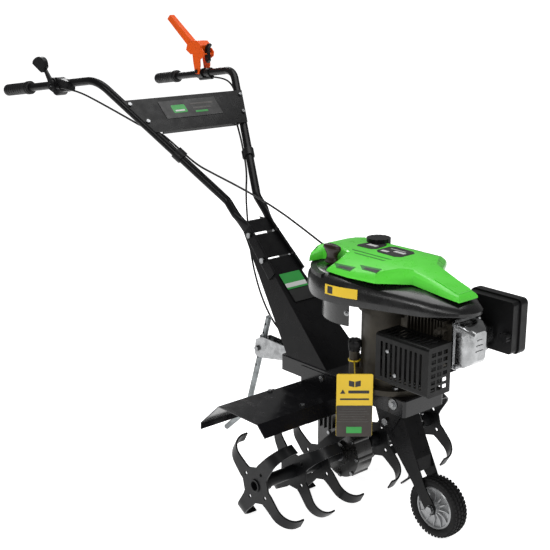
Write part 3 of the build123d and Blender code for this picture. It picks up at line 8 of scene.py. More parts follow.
import bmesh
import bpy
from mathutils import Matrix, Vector


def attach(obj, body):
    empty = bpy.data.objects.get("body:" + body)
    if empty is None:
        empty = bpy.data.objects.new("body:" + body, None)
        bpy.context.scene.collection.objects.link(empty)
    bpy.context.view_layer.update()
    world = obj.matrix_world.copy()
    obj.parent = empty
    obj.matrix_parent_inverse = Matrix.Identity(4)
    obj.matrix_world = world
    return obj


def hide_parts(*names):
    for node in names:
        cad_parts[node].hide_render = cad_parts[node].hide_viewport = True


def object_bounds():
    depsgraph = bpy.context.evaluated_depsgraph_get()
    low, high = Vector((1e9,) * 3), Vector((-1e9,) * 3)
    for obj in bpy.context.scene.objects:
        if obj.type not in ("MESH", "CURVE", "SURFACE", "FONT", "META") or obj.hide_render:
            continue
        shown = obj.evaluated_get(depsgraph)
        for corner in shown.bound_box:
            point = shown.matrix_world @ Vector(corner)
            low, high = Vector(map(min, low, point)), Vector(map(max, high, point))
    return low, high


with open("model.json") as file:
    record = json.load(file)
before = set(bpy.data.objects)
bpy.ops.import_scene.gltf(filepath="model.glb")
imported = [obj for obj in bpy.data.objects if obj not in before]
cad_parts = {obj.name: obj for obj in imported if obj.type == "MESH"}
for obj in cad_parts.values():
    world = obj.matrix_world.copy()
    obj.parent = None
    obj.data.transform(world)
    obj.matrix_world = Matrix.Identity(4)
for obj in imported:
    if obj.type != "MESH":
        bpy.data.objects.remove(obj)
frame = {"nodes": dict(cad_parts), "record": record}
cad_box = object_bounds()
nodes = frame["nodes"]
AXLE_X = 362.9


def at(x, y, z):
    """A point in metres from millimetres measured forward of the tine axle, left and up."""
    return Vector(((AXLE_X + x) / 1000, y / 1000, z / 1000))


# ---------------------------------------------------------------- camera, light and floor
cam_data = bpy.data.cameras.new("camera")
cam_data.sensor_width = 36.0
cam_data.lens = 71.74
camera = bpy.data.objects.new("camera", cam_data)
bpy.context.scene.collection.objects.link(camera)
camera.location = at(1718.7, -1722.4, 1227.2)
turn, tilt = radians(49.05), radians(15.74)
look = Vector((-sin(turn) * cos(tilt), cos(turn) * cos(tilt), -sin(tilt)))
camera.rotation_mode = "QUATERNION"
camera.rotation_quaternion = look.to_track_quat("-Z", "Y")
camera.data.clip_start, camera.data.clip_end = 0.05, 50
bpy.context.scene.camera = camera


def softbox(name, place, target, size, power):
    """A rectangular area light at a place, facing a target."""
    data = bpy.data.lights.new(name, "AREA")
    data.shape = "RECTANGLE"
    data.size, data.size_y = size
    data.energy = power
    light = bpy.data.objects.new(name, data)
    bpy.context.scene.collection.objects.link(light)
    light.location = Vector(place)
    light.rotation_euler = (Vector(target) - Vector(place)).to_track_quat("-Z", "Y").to_euler()


softbox("key", (1.6, -3.0, 2.6), (0.0, 0.0, 0.5), (2.0, 1.2), 46)
softbox("fill", (3.4, 1.2, 1.6), (0.2, 0.0, 0.4), (0.7, 1.8), 13)
softbox("top", (-0.4, 0.6, 3.4), (0.0, 0.0, 0.3), (2.2, 2.2), 54)
softbox("rim", (-2.8, 1.4, 1.7), (0.0, 0.0, 0.6), (0.7, 2.0), 22)

world = bpy.data.worlds.new("studio")
bpy.context.scene.world = world
world.use_nodes = True
sky = world.node_tree.nodes["Background"]
sky.inputs["Color"].default_value = (1, 1, 1, 1)
seen = world.node_tree.nodes.new("ShaderNodeLightPath")
dimmed = world.node_tree.nodes.new("ShaderNodeMapRange")
dimmed.inputs["To Min"].default_value = 0.20
dimmed.inputs["To Max"].default_value = 1.1
world.node_tree.links.new(seen.outputs["Is Camera Ray"], dimmed.inputs["Value"])
world.node_tree.links.new(dimmed.outputs["Result"], sky.inputs["Strength"])
bpy.context.scene.view_settings.view_transform = "Standard"


# ---------------------------------------------------------------- materials
class Nodes:
    """A short way to add shader nodes and join them."""

    def __init__(self, name):
        self.material = bpy.data.materials.new(name)
        self.material.use_nodes = True
        self.tree = self.material.node_tree
        self.shader = self.tree.nodes["Principled BSDF"]
        self.where = self.tree.nodes.new("ShaderNodeTexCoord").outputs["Object"]

    def add(self, kind, **inputs):
        node = self.tree.nodes.new(kind)
        for key, value in inputs.items():
            self.set(node, key, value)
        return node

    def set(self, node, key, value):
        socket = node.inputs[key.replace("_", " ")] if isinstance(key, str) else node.inputs[key]
        if isinstance(value, bpy.types.NodeSocket):
            self.tree.links.new(value, socket)
        else:
            socket.default_value = value

    def noise(self, scale, detail=4.0, where=None):
        node = self.add("ShaderNodeTexNoise", Scale=scale, Detail=detail)
        self.tree.links.new(where or self.where, node.inputs["Vector"])
        return node.outputs["Fac"]

    def remap(self, value, low, high, to_low, to_high):
        node = self.add("ShaderNodeMapRange")
        for index, entry in enumerate((value, low, high, to_low, to_high)):
            self.set(node, index, entry)
        return node.outputs["Result"]

    def mix(self, share, first, second):
        node = self.add("ShaderNodeMix")
        node.data_type = "RGBA"
        self.set(node, 0, share)
        self.set(node, 6, first)
        self.set(node, 7, second)
        return node.outputs[2]

    def edges(self, radius):
        """1 along the edges of a shape and 0 on its faces."""
        bevel = self.add("ShaderNodeBevel", Radius=radius)
        bevel.samples = 4
        plain = self.add("ShaderNodeNewGeometry")
        dot = self.add("ShaderNodeVectorMath")
        dot.operation = "DOT_PRODUCT"
        self.set(dot, 0, bevel.outputs["Normal"])
        self.set(dot, 1, plain.outputs["Normal"])
        return self.remap(dot.outputs["Value"], 0.985, 0.90, 0.0, 1.0), bevel.outputs["Normal"]


def shade(color, factor):
    return tuple(min(1.0, c * factor) for c in color[:3]) + (1.0,)


def surface(name, color, rough, metal=0.0, grain=(900, 0.1), spread=0.12, coat=0.0, bevel=0.0005, wear=None,
            patches=9.0, gloss=0.5):
    """A solid finish with uneven colour and gloss, fine grain in relief, softened edges and light wear."""
    m = Nodes(name)
    broad = m.noise(patches, 5.0)
    tone = m.mix(m.remap(broad, 0.35, 0.65, 0.0, 1.0), shade(color, 1 - spread), shade(color, 1 + spread))
    edge, normal = m.edges(bevel)
    if wear:
        scratchy = m.remap(m.noise(160, 6.0), 0.45, 0.62, 0.0, wear[1])
        both = m.add("ShaderNodeMath")
        both.operation = "MULTIPLY"
        m.set(both, 0, edge)
        m.set(both, 1, scratchy)
        tone = m.mix(both.outputs[0], tone, shade(wear[0], 1.0))
    m.set(m.shader, "Base_Color", tone)
    uneven = m.noise(patches * 5, 6.0)
    m.set(m.shader, "Roughness", m.remap(uneven, 0.3, 0.7, max(rough - 0.07, 0.02), rough + 0.09))
    m.shader.inputs["Metallic"].default_value = metal
    m.shader.inputs["Specular IOR Level"].default_value = gloss
    m.shader.inputs["Coat Weight"].default_value = coat
    m.shader.inputs["Coat Roughness"].default_value = 0.12
    relief = m.noise(grain[0], 3.0)
    bump = m.add("ShaderNodeBump", Strength=grain[1], Distance=0.0004, Height=relief, Normal=normal)
    m.set(m.shader, "Normal", bump.outputs["Normal"])
    return m.material


STEEL = (0.55, 0.56, 0.57)
finish = {
    "black_paint": surface("black_paint", (0.006, 0.006, 0.0065), 0.30, grain=(700, 0.10), coat=0.03,
                           wear=((0.05, 0.05, 0.055), 0.6), gloss=0.12),
    "deck_paint": surface("deck_paint", (0.006, 0.006, 0.007), 0.20, grain=(500, 0.07), coat=0.22,
                          wear=((0.06, 0.06, 0.065), 0.6), gloss=0.22),
    "tine_paint": surface("tine_paint", (0.007, 0.0073, 0.008), 0.36, grain=(600, 0.16), coat=0.02,
                          wear=((0.09, 0.09, 0.095), 0.8), gloss=0.16),
    "gear_paint": surface("gear_paint", (0.012, 0.0115, 0.011), 0.30, grain=(260, 0.35), coat=0.35,
                          wear=((0.18, 0.18, 0.17), 0.6), gloss=0.4),
    "zinc": surface("zinc", (0.27, 0.275, 0.28), 0.27, 1.0, grain=(900, 0.12), spread=0.25, bevel=0.0007,
                    patches=60),
    "galvanised": surface("galvanised", (0.22, 0.235, 0.24), 0.46, 1.0, grain=(500, 0.25), spread=0.3,
                          patches=45),
    "shaft_steel": surface("shaft_steel", (0.24, 0.24, 0.25), 0.32, 1.0, grain=(800, 0.15), spread=0.2),
    "cast_aluminium": surface("cast_aluminium", (0.040, 0.035, 0.027), 0.46, 0.5, grain=(420, 0.7),
                              spread=0.25, patches=18, gloss=0.3),
    "bright_aluminium": surface("bright_aluminium", (0.34, 0.345, 0.35), 0.20, 1.0, grain=(120, 0.6),
                                spread=0.2, bevel=0.001, patches=40),
    "rim_silver": surface("rim_silver", (0.34, 0.345, 0.35), 0.30, 0.55, grain=(800, 0.10), coat=0.2),
    "tyre_rubber": surface("tyre_rubber", (0.010, 0.010, 0.0103), 0.66, grain=(600, 0.35), spread=0.25,
                           gloss=0.18),
    "grip_rubber": surface("grip_rubber", (0.009, 0.009, 0.0095), 0.52, grain=(900, 0.3), spread=0.2,
                           gloss=0.3),
    "belt_rubber": surface("belt_rubber", (0.012, 0.012, 0.012), 0.7, grain=(700, 0.4), gloss=0.3),
    "cable_jacket": surface("cable_jacket", (0.008, 0.008, 0.008), 0.36, grain=(900, 0.08), gloss=0.3),
    "black_plastic": surface("black_plastic", (0.008, 0.008, 0.0085), 0.38, grain=(1100, 0.32), gloss=0.18),
    "shroud_plastic": surface("shroud_plastic", (0.007, 0.007, 0.0072), 0.27, grain=(800, 0.08), coat=0.22,
                              bevel=0.0008, gloss=0.4),
    "green_plastic": surface("green_plastic", (0.115, 0.80, 0.055), 0.30, grain=(900, 0.07), spread=0.05,
                             coat=0.15, bevel=0.0012),
    "orange_plastic": surface("orange_plastic", (0.86, 0.100, 0.002), 0.36, grain=(900, 0.02), spread=0.04,
                              coat=0.05, bevel=0.0010, gloss=0.3),
    "brown_plastic": surface("brown_plastic", (0.018, 0.0085, 0.006), 0.34, grain=(900, 0.2), gloss=0.4),
    "tank_plastic": surface("tank_plastic", (0.02, 0.02, 0.02), 0.5, grain=(900, 0.2), gloss=0.3),
    "guard_paint": surface("guard_paint", (0.005, 0.005, 0.005), 0.34, grain=(500, 0.25), coat=0.04,
                           wear=((0.06, 0.06, 0.06), 0.5), gloss=0.15),
    "card": surface("card", (0.78, 0.56, 0.02), 0.45, grain=(1200, 0.1), spread=0.05),
    "rope": surface("rope", (0.06, 0.055, 0.05), 0.8, grain=(1500, 0.8)),
    "spring_steel": surface("spring_steel", (0.30, 0.30, 0.31), 0.3, 1.0, grain=(900, 0.15)),
}
# Black print ink, also used as painted shade inside the cover's vent slots.
ink_and_painted_shade = surface("ink_and_painted_shade", (0.008, 0.008, 0.008), 0.42, grain=(1200, 0.05), spread=0.2)
print_green = surface("print_green", (0.02, 0.30, 0.045), 0.40, grain=(1200, 0.05), spread=0.1)
print_white = surface("print_white", (0.62, 0.63, 0.62), 0.42, grain=(1200, 0.05), spread=0.06)
print_yellow = surface("print_yellow", (0.78, 0.52, 0.01), 0.40, grain=(1200, 0.05), spread=0.06)
print_brown = surface("print_brown", (0.020, 0.013, 0.008), 0.42, grain=(1200, 0.05), spread=0.2)
print_grey = surface("print_grey", (0.055, 0.05, 0.045), 0.42, grain=(1200, 0.05), spread=0.2)
# Painted shade: a dark green for the cover's grooves and vent recesses, in place of cut hollows.
green_shadow = surface("green_shadow", (0.012, 0.19, 0.012), 0.45, grain=(900, 0.07), spread=0.1)
for entry in frame["record"]["subparts"]:
    piece = nodes[entry["node"]]
    for place in piece.material_slots:
        place.material = finish[entry["material_slot"]]

FLOOR_RADIUS = 3.4
floor_bm = bmesh.new()
bmesh.ops.create_circle(floor_bm, cap_ends=True, radius=FLOOR_RADIUS, segments=96)
floor_mesh = bpy.data.meshes.new("floor")
floor_bm.to_mesh(floor_mesh)
floor_bm.free()
floor = bpy.data.objects.new("floor", floor_mesh)
bpy.context.scene.collection.objects.link(floor)
floor.location.z = cad_box[0].z - 0.0005
paper = Nodes("paper")
pale = paper.mix(paper.noise(2.0), (0.93, 0.93, 0.93, 1), (0.95, 0.95, 0.95, 1))
paper.set(paper.shader, "Base_Color", pale)
paper.shader.inputs["Roughness"].default_value = 0.85
paper.shader.inputs["Emission Color"].default_value = (1, 1, 1, 1)
paper.shader.inputs["Emission Strength"].default_value = 0.86
floor_mesh.materials.append(paper.material)


# ---------------------------------------------------------------- helpers for fine detail
def finished(bm, name):
    """Turn a worked shape into a mesh with its faces outward."""
    bmesh.ops.recalc_face_normals(bm, faces=bm.faces[:])
    mesh = bpy.data.meshes.new(name)
    bm.to_mesh(mesh)
    bm.free()
    return mesh


def place(name, mesh, slot, body="chassis", material=None, smooth=True):
    """Link a mesh as a piece that rides on a body and takes its finish from a slot."""
    obj = bpy.data.objects.new(name, mesh)
    bpy.context.scene.collection.objects.link(obj)
    mesh.materials.append(material or finish[slot])
    if smooth:
        for polygon in mesh.polygons:
            polygon.use_smooth = True
    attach(obj, body)
    return obj


def cable(name, route, radius, slot, body="chassis"):
    """A round cable along one smooth curve with the route's points as control points."""
    data = bpy.data.curves.new(name, "CURVE")
    data.dimensions = "3D"
    data.bevel_depth = radius
    data.bevel_resolution = 4
    data.use_fill_caps = True
    line = data.splines.new("NURBS")
    line.points.add(len(route) - 1)
    for point, spot in zip(line.points, route):
        point.co = (*spot, 1.0)
    line.order_u = 3
    line.use_endpoint_u = True
    line.resolution_u = 12
    data.materials.append(finish[slot])
    obj = bpy.data.objects.new(name, data)
    bpy.context.scene.collection.objects.link(obj)
    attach(obj, body)
    return obj


def slab(name, outline, origin, u, v, thickness, slot, body="chassis", material=None, bevel=0.0, lift=0.0):
    """A flat plate: its outline in millimetres along u and v, raised by its thickness along u x v."""
    u, v = Vector(u).normalized(), Vector(v).normalized()
    n = u.cross(v).normalized()
    bm = bmesh.new()
    base = Vector(origin) + n * lift / 1000
    low = [bm.verts.new(base + (u * x + v * y) / 1000) for x, y in outline]
    face = bm.faces.new(low)
    grown = bmesh.ops.extrude_face_region(bm, geom=[face])["geom"]
    moved = [g for g in grown if isinstance(g, bmesh.types.BMVert)]
    bmesh.ops.translate(bm, verts=moved, vec=n * thickness / 1000)
    bmesh.ops.recalc_face_normals(bm, faces=bm.faces[:])
    if bevel:
        top = [e for e in bm.edges if all(p in moved for p in e.verts)]
        bmesh.ops.bevel(bm, geom=top, offset=bevel / 1000, segments=2, profile=0.6, affect="EDGES")
    return place(name, finished(bm, name), slot, body, material, smooth=False)


def rounded(width, height, radius, steps=5, cx=0.0, cy=0.0):
    """The outline of a rounded rectangle, in millimetres."""
    outline = []
    for sx, sy, start in ((1, 1, 0), (-1, 1, 90), (-1, -1, 180), (1, -1, 270)):
        for k in range(steps + 1):
            a = radians(start + 90 * k / steps)
            outline.append((cx + sx * (width / 2 - radius) + radius * cos(a),
                            cy + sy * (height / 2 - radius) + radius * sin(a)))
    return outline


def revolved(name, profile, centre, axis, slot, body="chassis", steps=64, material=None, crease=None):
    """A closed profile of (radius, along) millimetres turned about an axis through a centre."""
    axis = Vector(axis).normalized()
    side = axis.orthogonal().normalized()
    other = axis.cross(side)
    bm = bmesh.new()
    rings = []
    for k in range(steps):
        a = 2 * pi * k / steps
        out = side * cos(a) + other * sin(a)
        rings.append([bm.verts.new(Vector(centre) + (out * r + axis * h) / 1000) for r, h in profile])
    count = len(profile)
    for k in range(steps):
        here, there = rings[k], rings[(k + 1) % steps]
        for j in range(count):
            bm.faces.new((here[j], here[(j + 1) % count], there[(j + 1) % count], there[j]))
    obj = place(name, finished(bm, name), slot, body, material)
    sharpen(obj, crease or 35)
    return obj


def sharpen(obj, degrees):
    """Keep edges sharper than this angle hard under smooth shading."""
    mesh = obj.data
    bm = bmesh.new()
    bm.from_mesh(mesh)
    for edge in bm.edges:
        if len(edge.link_faces) == 2 and edge.calc_face_angle(0) > radians(degrees):
            edge.smooth = False
    bm.to_mesh(mesh)
    bm.free()


# ---------------------------------------------------------------- control cables
KNEE, LOW = Vector((-700, 222, 949)), Vector((-392, 48, 661))
UPWARD = Vector((288, 0, 308)).normalized()


def beside_tube(share, up, inward, side):
    """A point beside the lower stretch of a handle tube."""
    flip = Vector((1, side, 1))
    along = ((LOW - KNEE) * flip).normalized()
    inner = Vector((0, -side, 0))
    inner = (inner - along * along.dot(inner)).normalized()
    spot = (KNEE + (LOW - KNEE) * share) * flip + UPWARD * up + inner * inward
    return at(*spot)


THROTTLE_ROUTE = [
    at(-835.8, -249, 921), at(-790, -249, 920), at(-738, -243, 914), at(-684, -226, 894),
    beside_tube(0.27, -17, -8, -1), beside_tube(0.36, -17, 6, -1), beside_tube(0.46, -2, 19, -1),
    beside_tube(0.55, 9.6, 9.6, -1), beside_tube(0.73, 9.6, 9.6, -1),
    at(-418, -70, 729), at(-345, -32, 695), at(-272, 8, 654), at(-200, 36, 610), at(-130, 52, 572),
    at(-68, 55, 556)]
CLUTCH_ROUTE = [
    at(-807.3, 231.1, 920.2), at(-756, 229, 922), at(-706, 221, 910), at(-662, 203, 880),
    beside_tube(0.26, -13, 12, 1), beside_tube(0.40, -13, 13, 1), beside_tube(0.50, -11, 11, 1),
    beside_tube(0.59, -9.6, 9.6, 1), beside_tube(0.80, -9.6, 9.6, 1),
    at(-444, 54, 655), at(-412, 33, 590), at(-392, 24, 527), at(-374, 24, 464), at(-350, 28, 402),
    at(-317, 35, 346), at(-268, 40, 312), at(-216, 42, 301), at(-170.3, 42, 300)]
for name, route, length in (("throttle_cable", THROTTLE_ROUTE, 0.930), ("clutch_cable", CLUTCH_ROUTE, 1.012)):
    line = cable(name + "_jacket", route, 0.0025, "cable_jacket")
    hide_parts(name)

# ---------------------------------------------------------------- leg spring
start, end = at(112, 0, 216), at(186.5, 0, 189.5)
run = end - start
side = run.cross(Vector((0, 1, 0))).normalized()
other = run.normalized().cross(side)
TURNS, STEPS = 15, 16
coil = bpy.data.curves.new("leg_spring_coil", "CURVE")
coil.dimensions = "3D"
coil.bevel_depth = 0.0011
coil.bevel_resolution = 3
coil.use_fill_caps = True
path = coil.splines.new("POLY")
spots = []
for k in range(TURNS * STEPS + 1):
    share = k / (TURNS * STEPS)
    a = 2 * pi * k / STEPS
    grow = min(1.0, share / 0.05, (1 - share) / 0.05)
    around = side * cos(a) + other * sin(a)
    spots.append(start + run * (0.06 + 0.88 * share) + around * 0.0055 * max(grow, 0.05))
spots = [start + run * 0.02, *spots, end - run * 0.02]
path.points.add(len(spots) - 1)
for point, spot in zip(path.points, spots):
    point.co = (*spot, 1.0)
coil.materials.append(finish["spring_steel"])
spring = bpy.data.objects.new("leg_spring_coil", coil)
bpy.context.scene.collection.objects.link(spring)
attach(spring, "chassis")
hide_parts("leg_spring")

# ---------------------------------------------------------------- transport wheel
HUB = at(288, 0, 70)
ACROSS = (0, 1, 0)
casing = [(49.1, -15), (52, -17.5), (57, -19.4), (62, -19.2), (65.4, -16.5), (66.6, -11), (67.1, 0),
          (66.6, 11), (65.4, 16.5), (62, 19.2), (57, 19.4), (52, 17.5), (49.1, 15)]
tyre = revolved("tyre_casing", casing, HUB, ACROSS, "tyre_rubber", "wheel", steps=96, crease=60)
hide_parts("tyre")
bm = bmesh.new()
ROWS = [(-16.6, 3.6, 0.0), (-9.0, 6.2, 0.5), (0.0, 6.6, 0.0), (9.0, 6.2, 0.5), (16.6, 3.6, 0.0)]
BLOCKS = 44
for middle, width, shift in ROWS:
    for k in range(BLOCKS):
        angle = 2 * pi * (k + shift) / BLOCKS
        half_turn = pi / BLOCKS * 0.70
        skew = 0.02 if middle else 0.0
        crown = 69.9 - 0.009 * middle * middle
        corner = []
        for radius in (64.5 if abs(middle) > 12 else 66.0, crown):
            shrink = 1.0 if radius < crown else 0.86
            for da, dy in ((-1, -1), (1, -1), (1, 1), (-1, 1)):
                a = angle + da * half_turn * shrink + dy * skew * (1 if middle > 0 else -1)
                y = middle + dy * width / 2 * shrink
                corner.append(bm.verts.new(HUB + Vector((radius * cos(a), y, radius * sin(a))) / 1000))
        for quad in ((0, 1, 2, 3), (4, 5, 6, 7), (0, 1, 5, 4), (1, 2, 6, 5), (2, 3, 7, 6), (3, 0, 4, 7)):
            bm.faces.new([corner[i] for i in quad])
tread = place("tyre_tread", finished(bm, "tyre_tread"), "tyre_rubber", "wheel", smooth=False)
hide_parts("tyre")

RIM_FACE = [(49.0, -14.6), (49.0, 14.6), (46.6, 16.4), (44.5, 15.4), (43.2, 11.0), (33.0, 7.0), (17.0, 6.2),
            (15.0, 9.0), (12.5, 19.6), (10.8, 20.8), (5.1, 20.8), (5.1, -20.8), (10.8, -20.8), (12.5, -19.6),
            (15.0, -9.0), (17.0, -6.2), (33.0, -7.0), (43.2, -11.0), (44.5, -15.4), (46.6, -16.4)]
rim = revolved("wheel_dish", RIM_FACE, HUB, ACROSS, "rim_silver", "wheel", steps=96, crease=30)
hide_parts("wheel_rim")
RIBS = 12
bm = bmesh.new()
for face_side in (-1, 1):
    for k in range(RIBS):
        a = 2 * pi * k / RIBS
        out = Vector((cos(a), 0, sin(a)))
        wide = Vector((-sin(a), 0, cos(a)))
        ring = []
        for radius, depth, spread in ((14, 14.5, 2.6), (30, 10.4, 1.9), (44, 14.2, 1.6)):
            for s in (-1, 1):
                ring.append(bm.verts.new(HUB + (out * radius + wide * s * spread * 0.6
                                                + Vector((0, face_side * depth, 0))) / 1000))
                ring.append(bm.verts.new(HUB + (out * radius + wide * s * spread * 1.4
                                                + Vector((0, face_side * 5, 0))) / 1000))
        for j in (0, 4):
            top_a, low_a, top_b, low_b = ring[j:j + 4]
            top_c, low_c, top_d, low_d = ring[j + 4:j + 8]
            bm.faces.new((top_a, top_b, top_d, top_c))
            bm.faces.new((top_a, top_c, low_c, low_a))
            bm.faces.new((top_b, low_b, low_d, top_d))
            bm.faces.new((low_a, low_c, low_d, low_b))
        bm.faces.new((ring[0], ring[1], ring[3], ring[2]))
        bm.faces.new((ring[8], ring[10], ring[11], ring[9]))
place("wheel_ribs", finished(bm, "wheel_ribs"), "rim_silver", "wheel", smooth=False)


# ---------------------------------------------------------------- blower shroud
SHROUD_CIRCLES = [(75.0, 150.0), (252.0, 90.0), (320.0, 50.0)]


def shroud_line(inset, count=120):
    """Points round the shroud, seen from above, moved in by an inset."""
    points = []
    for k in range(count):
        a = 2 * pi * k / count
        n = (cos(a), sin(a))
        x, r = max(SHROUD_CIRCLES, key=lambda c: c[0] * n[0] + c[1])
        points.append((x + (r - inset) * n[0], (r - inset) * n[1]))
    return points


def ease(value, low, high):
    """0 below low, 1 above high and smooth between."""
    share = min(1.0, max(0.0, (value - low) / (high - low)))
    return share * share * (3 - 2 * share)


def ring_shell(bm, rings):
    """Join rings of equal length into a skin."""
    made = [[bm.verts.new(at(*p)) for p in ring] for ring in rings]
    for lower, upper in zip(made, made[1:]):
        for k in range(len(lower)):
            j = (k + 1) % len(lower)
            bm.faces.new((lower[k], lower[j], upper[j], upper[k]))
    return made


def capped(bm, rings):
    """Join rings of equal length into a closed body."""
    made = ring_shell(bm, rings)
    bm.faces.new(made[-1])
    bm.faces.new(made[0][::-1])


def fall(x):
    """How far the shroud's upper skin has dropped, at a distance in front of the axle."""
    return 32.0 * ease(x, 150, 400) + 3.0 * ease(-x, 20, 75)


def hem(x):
    """How far the shroud's lower edge is raised: it climbs towards the rear and a little at the front."""
    return 24.0 * ease(-x, -30, 60) + 6.0 * ease(x, 250, 370)


bm = bmesh.new()
LEVELS = [(531.0, 3.0, 0.0), (528.0, 2.6, 0.0), (528.0, 0.0, 0.0), (541.0, 0.0, 0.20), (560.0, 1.0, 0.62),
          (572.0, 5.0, 0.86), (579.0, 12.0, 0.95), (583.5, 24.0, 1.0), (587.0, 46.0, 0.93)]
rings = [[(x, y, z - share * fall(x) + (hem(x) if z < 545 else 0.0)) for x, y in shroud_line(inset)]
         for z, inset, share in LEVELS]
made = ring_shell(bm, rings)
bm.faces.new(made[-1])
SKIRT = [(117.0, 530.0), (117.0, 470.0), (114.0, 470.0), (114.0, 530.0)]
arc = [radians(74 + 212 * k / 60) for k in range(61)]
skirt = [[bm.verts.new(at(75 + r * cos(a), r * sin(a), z)) for r, z in SKIRT] for a in arc]
for here, there in zip(skirt, skirt[1:]):
    for j in range(3):
        bm.faces.new((here[j], here[j + 1], there[j + 1], there[j]))
bm.faces.new(skirt[0])
bm.faces.new(skirt[-1])
shelf = [[bm.verts.new(at(75 + r * cos(a), r * sin(a), 529.0)) for r in (116.0, 148.0)] for a in arc]
for (a, b), (c, d) in zip(shelf, shelf[1:]):
    bm.faces.new((a, b, d, c))
shroud = place("shroud_shell", finished(bm, "shroud_shell"), "shroud_plastic")
sharpen(shroud, 38)
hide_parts("blower_shroud")

# ---------------------------------------------------------------- green top cover
COVER_TOP = 619.0
ARM_END = 345.0
HALF_LINE = [(-72, 48), (-50, 84), (-12, 112), (42, 128), (118, 130), (186, 116), (232, 48), (300, 38),
             (ARM_END, 30)]
RIGHT_LINE = [(-72, -48), (-50, -84), (-34, -100), (-30, -60), (18, -58), (40, -66), (52, -128), (118, -131),
              (186, -116), (232, -48), (300, -38), (ARM_END, -30)]
COVER_LINE = RIGHT_LINE + HALF_LINE[::-1]


def moved_in(line, distance):
    """A closed outline, counterclockwise, moved in by a distance."""
    points = []
    for k, (x, y) in enumerate(line):
        (x0, y0), (x1, y1) = line[k - 1], line[(k + 1) % len(line)]
        a = Vector((x - x0, y - y0)).normalized()
        b = Vector((x1 - x, y1 - y)).normalized()
        na, nb = Vector((-a.y, a.x)), Vector((-b.y, b.x))
        step = (na + nb) * (distance / (1 + na.dot(nb)))
        points.append((x + step.x, y + step.y))
    return points


def cover_top(x, y):
    """Height of the cover's top: flat in the middle, folded down to the sides, the front and the rear."""
    side = max(0.0, abs(y) - 62) * 0.34
    return COVER_TOP - side - max(0.0, x - 188) * 0.29 - max(0.0, -20 - x) * 0.18


def cover_base(x):
    return 587.0 - fall(x) * 0.9


bm = bmesh.new()
rings = []
for share, inset in ((0.0, 0.0), (0.42, 0.8), (0.72, 3.6), (0.93, 9.0), (1.0, 13.0)):
    ring = []
    for x, y in moved_in(COVER_LINE, inset):
        low, high = cover_base(x), cover_top(x, y)
        ring.append((x, y, low + (high - low) * share))
    rings.append(ring)
made = ring_shell(bm, rings)
cap = bm.faces.new(made[-1])
geometry = [cap, *cap.edges, *cap.verts]
for cut, normal in [((x, 0), (1, 0, 0)) for x in (-20, 188)] + \
        [((0, y), (0, 1, 0)) for y in (-62, 62)]:
    cutting = bmesh.ops.bisect_plane(bm, geom=geometry, plane_co=at(cut[0], cut[1], 0), plane_no=normal)
    geometry = cutting["geom"]
for piece in geometry:
    if isinstance(piece, bmesh.types.BMVert):
        piece.co.z = cover_top(piece.co.x * 1000 - AXLE_X, piece.co.y * 1000) / 1000
cover = place("cover_shell", finished(bm, "cover_shell"), "green_plastic")
sharpen(cover, 22)
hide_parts("top_cover")


# ---------------------------------------------------------------- cover details
def on_cover(name, points, rise, material, slot="green_plastic", depth=1.2):
    """A thin shape lying on the cover's top, given by its corners."""
    bm = bmesh.new()
    low = [bm.verts.new(at(x, y, cover_top(x, y) + rise - depth)) for x, y in points]
    high = [bm.verts.new(at(x, y, cover_top(x, y) + rise)) for x, y in points]
    bm.faces.new(high)
    bm.faces.new(low[::-1])
    for k in range(len(points)):
        j = (k + 1) % len(points)
        bm.faces.new((low[k], low[j], high[j], high[k]))
    return place(name, finished(bm, name), slot, material=material, smooth=False)


def softened(corners, share=0.16):
    """The corners of a shape, each cut by a small chamfer of two points."""
    points = []
    for k, corner in enumerate(corners):
        for other in (corners[k - 1], corners[(k + 1) % len(corners)]):
            points.append(tuple(c + (o - c) * share for c, o in zip(corner, other)))
    return points


# Painted shade: dark green slabs lying just proud of the cover stand in for the shade inside its grooves.
for index, (start, end) in enumerate([((40, -38), (162, -38)), ((64, -55), (160, -55)), ((84, 62), (160, 62)),
                                      ((74, 78), (166, 78))]):
    sign = 1 if start[1] > 0 else -1
    on_cover(f"cover_groove_{index}", [start, (end[0], end[1]), (end[0] - 6, end[1] + sign * 5),
                                       (start[0] + 6, start[1] + sign * 5)], 0.35, green_shadow)
on_cover("cover_badge_rear", softened([(18, -10), (78, -6), (70, 48), (26, 62)]), 0.5, ink_and_painted_shade)
on_cover("cover_badge_front", softened([(84, -14), (162, -18), (160, 46), (80, 50)]), 0.5, ink_and_painted_shade)
BADGE_MARKS = [(34, 62, 14, 26), (92, 112, -2, 8), (118, 150, 12, 22), (96, 140, 28, 31)]
for index, (x0, x1, y0, y1) in enumerate(BADGE_MARKS):
    on_cover(f"cover_badge_mark_{index}", [(x0, y0), (x1, y0), (x1, y1), (x0, y1)], 0.8, print_white)
on_cover("arm_panel", softened([(268, -26), (334, -22), (334, 22), (268, 26)], 0.08), 2.2,
         finish["green_plastic"], depth=3.0)
# Painted shade: each vent is a dark green recess slab and a black slot slab lying on the cover, in place of
# real openings.
for side in (-1, 1):
    for index, (x0, x1, y) in enumerate([(76, 118, 112), (138, 180, 96)]):
        hand = "left" if side > 0 else "right"
        vent = [(x0 - 18, y - 3), (x1, y - 8), (x1, y + 9), (x0, y + 9)]
        hole = [(x0 + 2, y + 1), (x1 - 2, y - 2), (x1 - 2, y + 7), (x0 + 2, y + 7)]
        on_cover(f"cover_vent_{index}_{hand}", [(x, side * w) for x, w in vent], 0.45, green_shadow)
        on_cover(f"cover_slot_{index}_{hand}", [(x, side * w) for x, w in hole], 0.8, ink_and_painted_shade)

# ---------------------------------------------------------------- printed labels
PANEL_UP = Vector((-0.730, 0, 0.683))


def label(name, origin, u, v, width, height, material, lift, cx=0.0, cy=0.0, radius=2.0, slot="card"):
    """A thin rounded sticker on a flat face."""
    return slab(name, rounded(width, height, radius, 3, cx, cy), origin, u, v, 0.25, slot, material=material,
                lift=lift)


